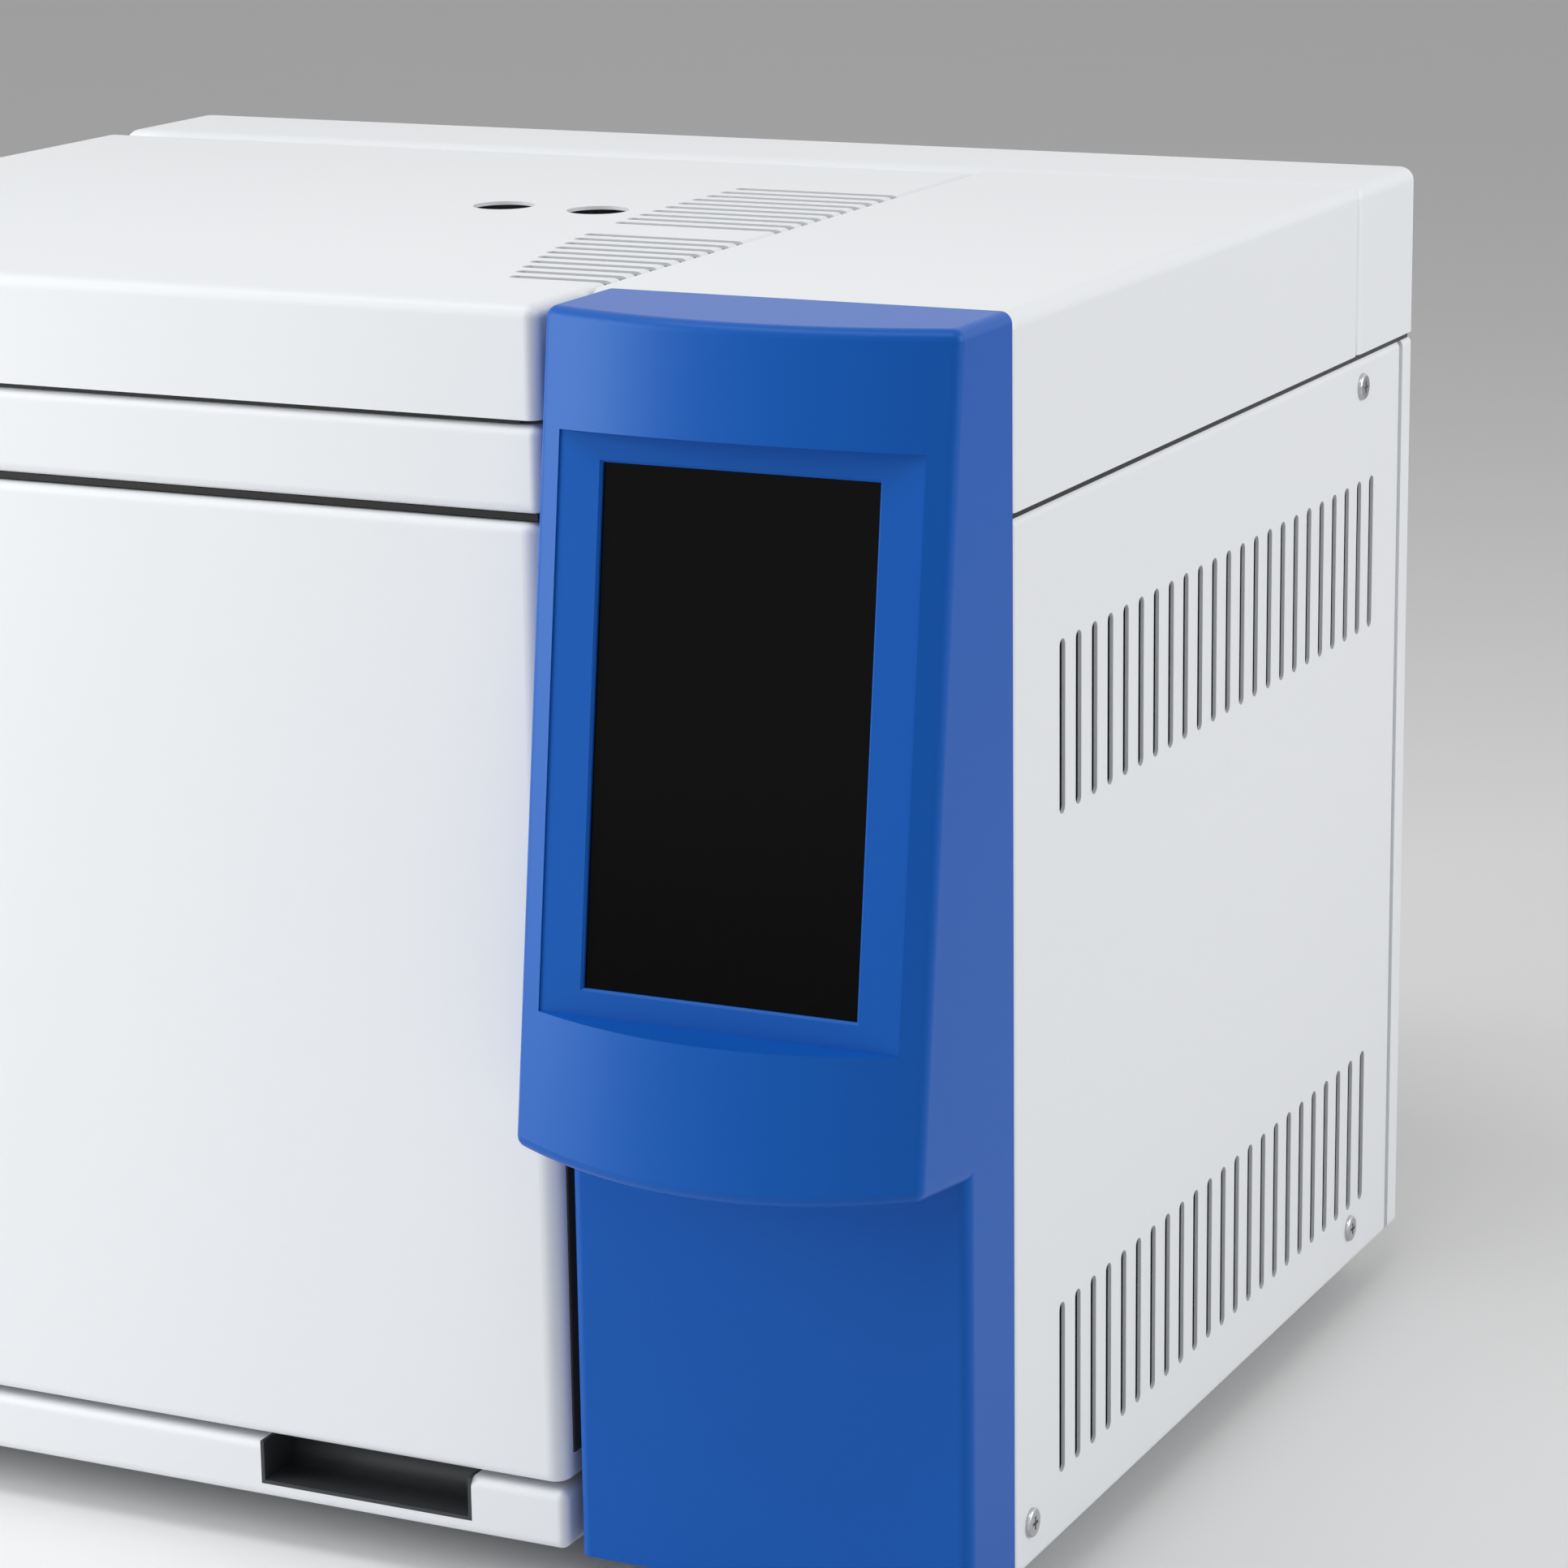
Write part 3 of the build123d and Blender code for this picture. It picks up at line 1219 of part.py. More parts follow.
def power_rocker():
    """The mains rocker: two faces that meet in a shallow valley, on a cross pin, pressed to one end."""
    swing = radians(rocker_tilt)
    room = (switch_z[1] - switch_z[0]) / 2 - rocker_gap
    reach = (room - rocker_tip * sin(swing)) / cos(swing)
    foot = reach * 0.55
    profile = Polyline((rocker_tip, reach), (rocker_valley, 0), (rocker_tip, -reach),
                       (-rocker_root, -foot), (-rocker_root, foot), close=True)
    side_view = Plane(origin=(0, 0, 0), x_dir=(0, 1, 0), z_dir=(1, 0, 0))
    width = switch_width - rocker_gap * 2
    rocker = extrude(side_view * make_face(profile.edges()), width / 2, both=True)
    rocker += rod("X", rocker_radius, around(0, switch_width + 4), 0, 0)
    return Pos(power_x, rocker_y, rocker_mid) * Rot(-rocker_tilt, 0, 0) * rocker


def gas_inlets():
    """Bulkhead fittings for the carrier and detector gases: a hexagon, a nut and a threaded stub."""
    fittings = []
    for x, z in gas_spots:
        hexagon = extrude(RegularPolygon(7.5, 6), gas_inlet_hex)
        fitting = place_on_back(hexagon, x, y_back, z)
        stub_end = y_back + gas_inlet_hex + gas_inlet_length
        fitting += rod("Y", gas_inlet_radius, (y_back + 1.0, stub_end), x, z)
        fitting += rod("Y", bulkhead_radius, (y_back - 16.0, y_back), x, z)
        nut = extrude(RegularPolygon(7.5, 6), 5.0)
        fitting += place_on_back(nut, x, y_back - sheet - 5.0, z)
        fitting -= rod("Y", 1.6, (y_back - 17.0, stub_end + 1.0), x, z)
        fittings.append(fitting)
    return fittings


# ------------------------------------------------------------------ electronics bay
manifold_y = (y_face + 150.0, y_face + 330.0)
manifold_z = (330.0, 372.0)
manifold_middle = (manifold_z[0] + manifold_z[1]) / 2
manifold_depth = 30.0
valve_count = 4
valve_radius = 11.0
valve_length = 44.0
spigot_radius = 6.6          # end of a valve in the manifold's port
line_radius = 1.6
standoff = 9.0
board_x = (x_lid + standoff, x_lid + standoff + board_thickness)
board_y = (y_face + 60.0, y_face + 330.0)
board_z = (110.0, 300.0)
supply_x = (x_lid + 40.0, x_lid + 120.0)
supply_y = (y_face + 90.0, y_face + 270.0)
supply_height = 62.0


def gas_manifold():
    """The drilled aluminium block that meters the gases, on the bay's wall."""
    body = block((x_lid, x_lid + manifold_depth), manifold_y, manifold_z)
    body = chamfer(body.edges().filter_by(Axis.Y), 1.5)
    for y in valve_spots():
        port = (x_lid + manifold_depth - 6, x_lid + manifold_depth + 1)
        body -= rod("X", spigot_radius + running * 2, port, y, manifold_middle)
    return body


def valve_spots():
    """Places of the valves along the manifold."""
    pitch = (manifold_y[1] - manifold_y[0]) / valve_count
    return [manifold_y[0] + pitch * (index + 0.5) for index in range(valve_count)]


def gas_valves():
    """Proportional valves screwed into the manifold."""
    valves = []
    face = x_lid + manifold_depth
    end = face + valve_length
    for y in valve_spots():
        valve = rod("X", valve_radius, (face, end), y, manifold_middle)
        valve = fillet(valve.faces().sort_by(Axis.X)[-1].edges(), 2.0)
        valve += rod("X", spigot_radius, (face - 5.0, face), y, manifold_middle)
        valve += rod("X", valve_radius * 0.45, (end, end + 4.0), y, manifold_middle)
        valves.append(valve)
    return valves


def gas_lines():
    """Steel lines from the rear inlets to the manifold's end."""
    lines = []
    for index, (x, z) in enumerate(gas_spots):
        start = Vector(x, y_back - 17.0, z)
        target_x = x_lid + 8.0 + index * 7.0
        end = Vector(target_x, manifold_y[1], manifold_middle)
        away = Vector(x, start.Y - 16.0 - index * 6.0, z)
        near = Vector(target_x, end.Y + 14.0 + index * 6.0, end.Z)
        path = FilletPolyline(start, away, near, end, radius=6.0)
        section = Plane(origin=path @ 0, z_dir=path % 0) * Circle(line_radius)
        lines.append(sweep(section, path=path))
    return lines


def main_board():
    """The controller board on standoffs, with its larger parts."""
    board = block(board_x, board_y, board_z)
    for y, z, size, tall in ((0.25, 0.7, 34.0, 3.0), (0.55, 0.65, 26.0, 2.4), (0.8, 0.3, 22.0, 9.0)):
        centre_y = board_y[0] + (board_y[1] - board_y[0]) * y
        centre_z = board_z[0] + (board_z[1] - board_z[0]) * z
        board += block((board_x[1], board_x[1] + tall), around(centre_y, size), around(centre_z, size))
    for y in (board_y[0] + 12, board_y[1] - 12):
        for z in (board_z[0] + 12, board_z[1] - 12):
            board += rod("X", 3.0, (x_lid, board_x[0]), y, z)
    return board


def power_supply():
    """The power supply's perforated steel case on the base pan."""
    z = (z_base + sheet, z_base + sheet + supply_height)
    case = block(supply_x, supply_y, z)
    case = fillet(case.edges().filter_by(Axis.Y), 2.0)
    for index in range(9):
        y = supply_y[0] + 24.0 + index * 16.0
        case -= block((supply_x[0] + 14, supply_x[1] - 14), around(y, 5.0), (z[1] - 2.0, z[1] + 1))
    return case


save("column_moulding", column_moulding())
save("display_glass", display_glass())
save("display_module", display_module())
save("display_board", display_board())
save("right_side_panel", right_side_panel())
save("left_side_panel", left_side_panel())
save("panel_screws", *panel_screws())
save("left_rail", left_rail())
save("right_top_cover", right_top_cover())
save("rear_top_cover", rear_top_cover())
save("front_strip", front_strip())
save("plinth", plinth())
save("base_pan", base_pan())
save("feet", *feet())
save("lid_shell", lid_shell())
save("lid_hinge_leaves", *lid_hinge_leaves())
save("rear_hinge_leaves", *rear_hinge_leaves())
save("hinge_pins", *lid_pins(), *door_pins())
save("door_shell", door_shell())
save("door_bushes", *door_bushes())
save("door_inner_panel", door_inner_panel())
save("door_insulation", door_insulation())
save("door_seal", door_seal())
save("door_strikes", *door_strikes())
save("door_magnets", *door_magnets())
save("door_pull", door_pull())
save("oven_liner", oven_liner())
save("oven_insulation", oven_insulation())
save("oven_front_frame", oven_front_frame())
save("oven_back_plate", oven_back_plate())
save("oven_rails", *oven_rails())
save("top_deck", top_deck())
save("bay_frame", bay_frame())
save("fan_baffle", fan_baffle())
save("fan_impeller", fan_impeller())
save("fan_shaft", fan_shaft())
save("oven_motor", oven_motor())
save("oven_heater", oven_heater())
save("capillary", capillary())
save("coil_cage", coil_cage())
save("coil_hanger", coil_hanger())
save("column_nuts", *column_nuts())
save("injectors", *injectors())
save("septum_nuts", *septum_nuts())
save("detector", detector())
save("detector_cap", detector_cap())
save("rear_panel", rear_panel())
save("vent_ducts", *vent_ducts())
save("exhaust_flap", exhaust_flap())
save("intake_flap", intake_flap())
save("bay_fan_frame", bay_fan_frame())
save("bay_fan_rotor", bay_fan_rotor())
save("power_inlet", power_inlet())
save("power_rocker", power_rocker())
save("gas_inlets", *gas_inlets())
save("gas_manifold", gas_manifold())
save("gas_valves", *gas_valves())
save("gas_lines", *gas_lines())
save("main_board", main_board())
save("power_supply", power_supply())
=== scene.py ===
# %% [markdown]
# # A benchtop gas chromatograph
# The instrument is a white cabinet of folded, powder-coated steel with a fan oven inside, and a blue moulded
# column at its front right corner that carries a tall touch display. Its solids come ready made in a frame of
# named nodes. This lesson gives each node a real finish, adds the fine pieces that are easier to model here,
# and lights the whole like a catalogue picture. The frame is loaded first, and everything is deselected,
# because an operator acts on whatever is selected.

# %% Load the frame
import math

import bpy
from mathutils import Matrix, Vector


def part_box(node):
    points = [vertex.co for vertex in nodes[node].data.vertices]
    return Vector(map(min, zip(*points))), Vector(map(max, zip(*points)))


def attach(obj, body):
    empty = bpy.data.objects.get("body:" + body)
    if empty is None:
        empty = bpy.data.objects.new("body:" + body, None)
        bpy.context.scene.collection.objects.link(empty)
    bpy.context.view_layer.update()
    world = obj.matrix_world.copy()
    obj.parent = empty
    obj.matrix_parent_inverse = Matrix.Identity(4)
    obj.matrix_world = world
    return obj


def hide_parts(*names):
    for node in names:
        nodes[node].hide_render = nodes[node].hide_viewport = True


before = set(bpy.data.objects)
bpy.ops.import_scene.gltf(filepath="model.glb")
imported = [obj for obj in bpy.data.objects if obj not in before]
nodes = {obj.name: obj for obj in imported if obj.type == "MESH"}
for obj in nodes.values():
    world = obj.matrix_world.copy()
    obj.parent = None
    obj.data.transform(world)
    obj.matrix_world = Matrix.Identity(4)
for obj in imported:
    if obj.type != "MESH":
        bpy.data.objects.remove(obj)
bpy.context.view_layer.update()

bpy.ops.object.select_all(action="DESELECT")

# %% [markdown]
# ## Colours and shader nodes
# Colours are picked on screen as hex codes, and the shader wants linear light, so one function turns one into
# the other. A second one adds a shader node: its settings come first, then the inputs by name, and an input
# takes either a number or the output of an earlier node.

# %% Colour and node helpers
def srgb(code):
    """A hex colour as linear red, green, blue and alpha."""
    channels = [int(code[i:i + 2], 16) / 255 for i in (1, 3, 5)]
    return [c / 12.92 if c <= 0.04045 else ((c + 0.055) / 1.055) ** 2.4 for c in channels] + [1.0]


def add(tree, kind, settings=None, **inputs):
    """Add one shader node; an input is a value or another node's output."""
    node = tree.nodes.new("ShaderNode" + kind)
    for name, value in (settings or {}).items():
        setattr(node, name, value)
    for name, value in inputs.items():
        socket = node.inputs[int(name[1:])] if name[0] == "_" else node.inputs[name.replace("_", " ")]
        if isinstance(value, bpy.types.NodeSocket):
            tree.links.new(value, socket)
        else:
            socket.default_value = value
    return node.outputs


print("white in linear light:", [round(c, 3) for c in srgb("#e6e9ec")])

# %% [markdown]
# ## The parts of a finish
# A finish is a Principled shader with three things on it: a colour that drifts a little between two tones, a
# roughness that drifts too, and a bump that is the surface's own texture at its real size. The pattern reads
# Object coordinates, which here are metres, so a scale of 1000 is one cell per millimetre. A Mapping node
# stretches it where the surface was brushed or drawn. Colour can also be given to the gloss alone.

# %% One finish
def finish(name, tones, roughness, metallic=0.0, grain=1000.0, bump=0.02, depth=0.00005, drift=6.0,
           stretch=(1, 1, 1), rough_drift=0.04, specular=0.5, coat=0.0, sheen=0.0, gloss_tint="#ffffff"):
    """A material from two close tones, a roughness and a fine grain."""
    material = bpy.data.materials.new(name)
    material.use_nodes = True
    tree = material.node_tree
    tree.nodes.clear()
    place = add(tree, "TexCoord")["Object"]
    stretched = add(tree, "Mapping", Vector=place, Scale=stretch)["Vector"]
    cloud = add(tree, "TexNoise", Vector=place, Scale=drift, Detail=3.0)["Fac"]
    colour = add(tree, "Mix", {"data_type": "RGBA"}, _0=cloud, _6=srgb(tones[0]), _7=srgb(tones[1]))[2]
    fine = add(tree, "TexNoise", Vector=stretched, Scale=grain, Detail=2.0, Roughness=0.6)["Fac"]
    rough = add(tree, "MapRange", Value=fine, From_Min=0.3, From_Max=0.7,
                To_Min=roughness - rough_drift, To_Max=roughness + rough_drift)["Result"]
    relief = add(tree, "Bump", Height=fine, Strength=bump, Distance=depth)["Normal"]
    shader = add(tree, "BsdfPrincipled", Base_Color=colour, Metallic=metallic, Roughness=rough, Normal=relief,
                 Specular_IOR_Level=specular, Specular_Tint=srgb(gloss_tint), Coat_Weight=coat,
                 Sheen_Weight=sheen)[0]
    add(tree, "OutputMaterial", Surface=shader)
    return material


def inputs_of(material):
    """The Principled shader's inputs and the tree, to add something special to a finish."""
    tree = material.node_tree
    shader = next(node for node in tree.nodes if node.type == "BSDF_PRINCIPLED")
    return tree, shader.inputs


print("finish helper ready")

# %% [markdown]
# ## Powder coat
# The cabinet is cold-rolled steel, folded and then powder-coated in a cool white. The powder melts into a
# skin with a faint orange peel, about a millimetre across, and it is neither matt nor glossy. Real coats vary
# by hardly one tone over a panel, so the two colours are almost the same.

# %% Powder coat
white_coat = finish("powder_coated_steel", ("#e7e9ec", "#e4e7ea"), 0.42, grain=850, bump=0.10,
                    depth=0.0002, drift=3.0, rough_drift=0.03)
print(white_coat.name)

# %% [markdown]
# ## Moulded ABS
# The column is one large injection moulding in blue ABS. The tool was spark-eroded, which leaves a very fine
# even grain that spreads the light into a soft sheen. The grain is about a quarter of a millimetre. The gloss
# is tinted a cold blue, because a white one turns the blue beneath it a little purple.

# %% Blue ABS
blue_abs = finish("moulded_blue_abs", ("#0956b2", "#0953ac"), 0.40, grain=4200, bump=0.12,
                  depth=0.00006, drift=5.0, rough_drift=0.03, specular=0.28, gloss_tint="#c6ecff")
print(blue_abs.name)

# %% [markdown]
# ## Touch display
# The display's front is toughened glass, printed black from behind and treated so that it hardly mirrors the
# room. It is smooth but not a mirror, with the faintest haze, and no picture is lit.

# %% Display glass
display_glass = finish("black_printed_glass", ("#060607", "#040405"), 0.16, grain=300, bump=0.0,
                       drift=4.0, rough_drift=0.02, specular=0.07)
print(display_glass.name)

# %% [markdown]
# ## Sheet metals
# Inside, the sheet is not painted. The base pan and frames are zinc-plated, with a cloudy, slightly patchy
# sheen. The oven chamber, its baffle and the vent ducts are stainless, with the fine lines of a brushed
# sheet, so the grain is stretched until it turns into lines.

# %% Zinc plate and stainless
zinc_plate = finish("zinc_plated_steel", ("#b4b8bd", "#9da2a8"), 0.40, metallic=1.0, grain=260, bump=0.06,
                    depth=0.0001, drift=28.0, rough_drift=0.07)
stainless = finish("brushed_stainless", ("#bdbab4", "#aba8a2"), 0.34, metallic=1.0, grain=1400, bump=0.14,
                   depth=0.00008, drift=9.0, stretch=(0.02, 1, 1), rough_drift=0.08)
pressed_zinc = finish("pressed_zinc_plate", ("#a9adb1", "#989ca1"), 0.45, metallic=1.0, grain=500,
                      bump=0.08, drift=40.0, rough_drift=0.06)
print(zinc_plate.name, stainless.name, pressed_zinc.name)

# %% [markdown]
# ## Turned metals
# Screws, pins, nuts and fittings are turned on a lathe, which leaves rings round their axis that are too fine
# to count. A fine grain with a little more roughness shows them well enough at this size. Aluminium is paler
# and softer in its shine than steel, and sintered bronze is warm and dull with oil. The valves' cans are
# dark-plated, and heat has coloured the heater's sheath.

# %% Steel, aluminium and bronze
turned_steel = finish("turned_steel", ("#c3c4c6", "#b3b4b6"), 0.26, metallic=1.0, grain=2600, bump=0.10,
                      depth=0.00004, drift=60.0, stretch=(1, 1, 0.2), rough_drift=0.05)
fitting_steel = finish("turned_stainless", ("#bfbcb6", "#adaaa4"), 0.30, metallic=1.0, grain=2200, bump=0.10,
                       depth=0.00005, drift=50.0, stretch=(1, 0.2, 1), rough_drift=0.06)
aluminium = finish("machined_aluminium", ("#d0d2d4", "#c3c5c8"), 0.36, metallic=1.0, grain=1800, bump=0.10,
                   depth=0.00005, drift=30.0, stretch=(1, 0.05, 1), rough_drift=0.06)
bronze = finish("sintered_bronze", ("#9a6f3a", "#86602f"), 0.48, metallic=1.0, grain=3000, bump=0.12,
                depth=0.00004, drift=80.0)
valve_steel = finish("plated_valve_can", ("#5d6064", "#4c4f53"), 0.34, metallic=1.0, grain=1500, bump=0.06,
                     drift=40.0, stretch=(0.1, 1, 1))
heater_sheath = finish("heat_tinted_sheath", ("#6a5a4b", "#453d38"), 0.48, metallic=1.0, grain=1500,
                       bump=0.10, drift=55.0, rough_drift=0.08)
print(turned_steel.name, aluminium.name, bronze.name)

# %% [markdown]
# ## Blacks
# Four different blacks sit near each other: rubber feet, which are matt and dusty; nylon fan parts, which are
# filled with glass and look even; the motor's baked enamel, which is glossy; and the moulded mains inlet.
# They differ in roughness and grain far more than in colour. The door's pull is a dark grey beside them.

# %% Rubber, nylon, enamel and polycarbonate
rubber = finish("moulded_rubber", ("#191919", "#141414"), 0.78, grain=1600, bump=0.25, depth=0.0001,
                drift=30.0, sheen=0.1)
nylon = finish("glass_filled_nylon", ("#161617", "#121213"), 0.52, grain=2400, bump=0.18, depth=0.00006,
               drift=20.0)
enamel = finish("baked_enamel", ("#1a1b1d", "#151618"), 0.30, grain=700, bump=0.08, depth=0.0001, drift=15.0,
                coat=0.25)
polycarbonate = finish("moulded_polycarbonate", ("#121214", "#0f0f11"), 0.36, grain=2600, bump=0.14,
                       depth=0.00005, drift=20.0)
dark_plastic = finish("dark_moulded_plastic", ("#2b2d30", "#27292c"), 0.48, grain=2600, bump=0.14,
                      depth=0.00005, drift=20.0)
print(rubber.name, nylon.name, enamel.name, polycarbonate.name)

# %% [markdown]
# ## Fibre felt
# The oven's jacket and the door's filling are ceramic-fibre felt: white, slightly warm, with loose fibres
# that scatter light. The grain is coarse and deep, and some sheen stands for the loose ends.

# %% Ceramic-fibre felt
felt = finish("ceramic_fibre_felt", ("#e2dfd6", "#d3cfc5"), 0.94, grain=420, bump=0.7, depth=0.0009,
              drift=14.0, stretch=(1, 0.5, 1), sheen=0.35)
print(felt.name)

# %% [markdown]
# ## Rope seal
# The door closes on a rope of woven glass fibre. Its braid is two sets of strands that cross at a slant, so
# there are two diagonal waves, one mirrored, and the higher of them makes the bump. The hollows are painted
# darker, as painted shade in the creases of the braid.

# %% Woven rope
rope = finish("woven_glass_rope", ("#cdc8bb", "#bdb7a9"), 0.85, grain=1500, bump=0.3, depth=0.0002,
              drift=20.0, sheen=0.25)
strand_slant = 0.6
strand_scale = 130.0
tree, sockets = inputs_of(rope)
place = add(tree, "TexCoord")["Object"]
strands = []
for mirror in (1, -1):
    turned = add(tree, "Mapping", Vector=place, Scale=(mirror, strand_slant, 1))["Vector"]
    strands.append(add(tree, "TexWave", {"bands_direction": "DIAGONAL"}, Vector=turned, Scale=strand_scale,
                       Distortion=0.4)["Fac"])
braid = add(tree, "Math", {"operation": "MAXIMUM"}, _0=strands[0], _1=strands[1])[0]
relief = add(tree, "Bump", Height=braid, Strength=0.8, Distance=0.0008)["Normal"]
tree.links.new(relief, sockets["Normal"])
# painted shade: the colour is darker where the braid is low, in its hollows
braid_colour_with_painted_shade = add(tree, "Mix", {"data_type": "RGBA"}, _0=braid, _6=srgb("#a39c8c"), _7=srgb("#d2cdc0"))[2]
tree.links.new(braid_colour_with_painted_shade, sockets["Base Color"])
print(rope.name)

# %% [markdown]
# ## Circuit boards
# A board is green solder mask over copper tracks. The tracks stand up a hair under the mask and look a tone
# lighter. A brick pattern with long bricks gives runs of tracks. What stands proud of the main board is black
# chip plastic, and what lies behind it is the brass of its spacers, so the X coordinate picks between them.

# %% Solder mask, chips and spacers
def board_material(name, chip_from, spacer_to):
    """Green board; black above one X, brass below another."""
    material = finish(name, ("#0f5a34", "#0c4f2d"), 0.34, grain=1800, bump=0.05, drift=30.0, coat=0.3)
    tree, sockets = inputs_of(material)
    place = add(tree, "TexCoord")["Object"]
    turned = add(tree, "Mapping", Vector=place, Rotation=(0, math.pi / 2, math.pi / 2))["Vector"]
    tracks = add(tree, "TexBrick", Vector=turned, Scale=60.0, Mortar_Size=0.012, Brick_Width=0.9,
                 Row_Height=0.12)["Fac"]
    green = add(tree, "Mix", {"data_type": "RGBA"}, _0=tracks, _6=srgb("#0e5631"), _7=srgb("#2f8a58"))[2]
    across = add(tree, "SeparateXYZ", Vector=place)["X"]
    chip = add(tree, "Math", {"operation": "GREATER_THAN"}, _0=across, _1=chip_from)[0]
    spacer = add(tree, "Math", {"operation": "LESS_THAN"}, _0=across, _1=spacer_to)[0]
    parts = add(tree, "Mix", {"data_type": "RGBA"}, _0=chip, _6=green, _7=srgb("#17181a"))[2]
    colour = add(tree, "Mix", {"data_type": "RGBA"}, _0=spacer, _6=parts, _7=srgb("#b08a45"))[2]
    tree.links.new(colour, sockets["Base Color"])
    tree.links.new(spacer, sockets["Metallic"])
    return material


board_low, board_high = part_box("main_board")
chip_side = 0.0108           # where the chips start, from the low X of the board and its spacers
spacer_side = 0.0088         # where the spacers end
nowhere = 10.0               # further out than any part of the instrument
main_board = board_material("solder_mask_with_parts", board_low[0] + chip_side, board_low[0] + spacer_side)
display_board = board_material("solder_mask", nowhere, -nowhere)
print("main board from x", round(board_low[0], 4), "to", round(board_high[0], 4))

# %% [markdown]
# ## Silica capillary
# The column itself is a tube of fused silica as thin as a wire, coated with amber polyimide. It is glossy and
# a little see-through, so the tone changes from turn to turn.

# %% Amber polyimide
polyimide = finish("amber_polyimide", ("#8a4a17", "#6b3710"), 0.24, grain=1200, bump=0.03, drift=120.0,
                   coat=0.5)
print(polyimide.name)

# %% [markdown]
# ## Dressing the nodes
# Each node takes its finish by name. A node is never moved or reshaped here, only its material slots change.

# %% Assign the finishes
dress = {
    white_coat: "right_side_panel left_side_panel left_rail right_top_cover rear_top_cover front_strip "
                "plinth lid_shell door_shell rear_panel",
    blue_abs: "column_moulding",
    display_glass: "display_glass",
    pressed_zinc: "display_module power_supply",
    display_board: "display_board",
    main_board: "main_board",
    turned_steel: "panel_screws hinge_pins fan_shaft coil_cage",
    zinc_plate: "base_pan lid_hinge_leaves rear_hinge_leaves door_strikes oven_front_frame oven_back_plate "
                "oven_rails top_deck bay_frame",
    stainless: "door_inner_panel oven_liner fan_baffle coil_hanger vent_ducts exhaust_flap intake_flap",
    fitting_steel: "column_nuts injectors detector gas_inlets gas_lines",
    aluminium: "fan_impeller septum_nuts detector_cap gas_manifold",
    bronze: "door_bushes",
    valve_steel: "gas_valves",
    heater_sheath: "oven_heater",
    rubber: "feet",
    nylon: "bay_fan_frame bay_fan_rotor door_magnets",
    enamel: "oven_motor",
    polycarbonate: "power_inlet power_rocker",
    dark_plastic: "door_pull",
    felt: "door_insulation oven_insulation",
    rope: "door_seal",
    polyimide: "capillary",
}
dressed = set()
for material, names in dress.items():
    for name in names.split():
        for slot in nodes[name].material_slots:
            slot.material = material
        dressed.add(name)
print("dressed", len(dressed), "nodes, left:", sorted(set(nodes) - dressed))

# %% [markdown]
# ## Capillary winding
# Nearly thirty metres of capillary are wound side by side on the wire cage. The solid has a few thick turns
# with the true outline. Here the real winding is made: a small circle, stood at the coil's radius, is swept
# round with a Screw modifier that moves it on by one pitch each turn. The two free ends are smooth curves
# with a round bevel, and all three are joined into one piece that replaces the node.

# %% Wind the capillary
def select_only(*objects):
    """Select these objects and nothing else; the first one is active."""
    bpy.ops.object.select_all(action="DESELECT")
    for item in objects:
        item.select_set(True)
    bpy.context.view_layer.objects.active = objects[0]


def settle(item):
    """Put an object's place, turn and scale into its mesh."""
    select_only(item)
    bpy.ops.object.transform_apply(location=True, rotation=True, scale=True)


coil_low, coil_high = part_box("coil_cage")
coil_middle = Vector([(low + high) / 2 for low, high in zip(coil_low, coil_high)])
coil_radius = 0.0865
tube_radius = 0.00029
turn_count = 52
band = 0.0325                # width of the winding along the cage
steps_a_turn = 64
bpy.ops.object.select_all(action="DESELECT")
bpy.ops.mesh.primitive_circle_add(vertices=6, radius=tube_radius, location=(coil_radius, 0, 0))
winding = bpy.context.object
winding.name = "capillary_winding"
settle(winding)
sweep = winding.modifiers.new("sweep", "SCREW")
sweep.axis = "Y"
sweep.angle = 2 * math.pi
sweep.iterations = turn_count
sweep.screw_offset = band / turn_count
sweep.steps = sweep.render_steps = steps_a_turn
sweep.use_merge_vertices = False
bpy.ops.object.modifier_apply(modifier=sweep.name)
winding.location = coil_middle - Vector((0, band / 2, 0))
settle(winding)
bpy.ops.object.shade_smooth()
print("winding faces:", len(winding.data.polygons))

# %% [markdown]
# ## The free ends
# Each end of the tube leaves its turn of the coil straight up and bends over to the nut of its port, one
# under the first injector and one under the detector. A NURBS curve near a few points bends without a kink.

# %% The two free ends
injector_low, injector_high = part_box("injectors")
detector_low, detector_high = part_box("detector")
nut_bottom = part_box("column_nuts")[0][2]
injector_in = 0.018          # the first injector's axis, from the pair's left side
into_nut = 0.004
end_thickening = 1.3         # a hair thicker than the winding, so a single tube still shows
ports = {"inlet": (injector_low[0] + injector_in, (injector_low[1] + injector_high[1]) / 2),
         "detector": ((detector_low[0] + detector_high[0]) / 2, (detector_low[1] + detector_high[1]) / 2)}
ends = []
for name, side, along in (("inlet", 1, band / 2), ("detector", -1, -band / 2)):
    start = coil_middle + Vector((side * coil_radius, along, 0))
    port = Vector((*ports[name], nut_bottom + into_nut))
    rise = port.z - start.z
    points = [start, start + Vector((0, 0, rise * 0.25)), start + Vector((0, 0, rise * 0.5)),
              port - Vector((0, 0, rise * 0.32)), port - Vector((0, 0, rise * 0.12)), port]
    curve = bpy.data.curves.new("end_" + name, "CURVE")
    curve.dimensions = "3D"
    curve.bevel_depth = tube_radius * end_thickening
    curve.bevel_resolution = 2
    curve.resolution_u = 10
    spline = curve.splines.new("NURBS")
    spline.points.add(len(points) - 1)
    for point, place in zip(spline.points, points):
        point.co = (*place, 1.0)
    spline.order_u = 3
    spline.use_endpoint_u = True
    end = bpy.data.objects.new("end_" + name, curve)
    bpy.context.scene.collection.objects.link(end)
    select_only(end)
    bpy.ops.object.convert(target="MESH")
    ends.append(bpy.context.object)
select_only(winding, *ends)
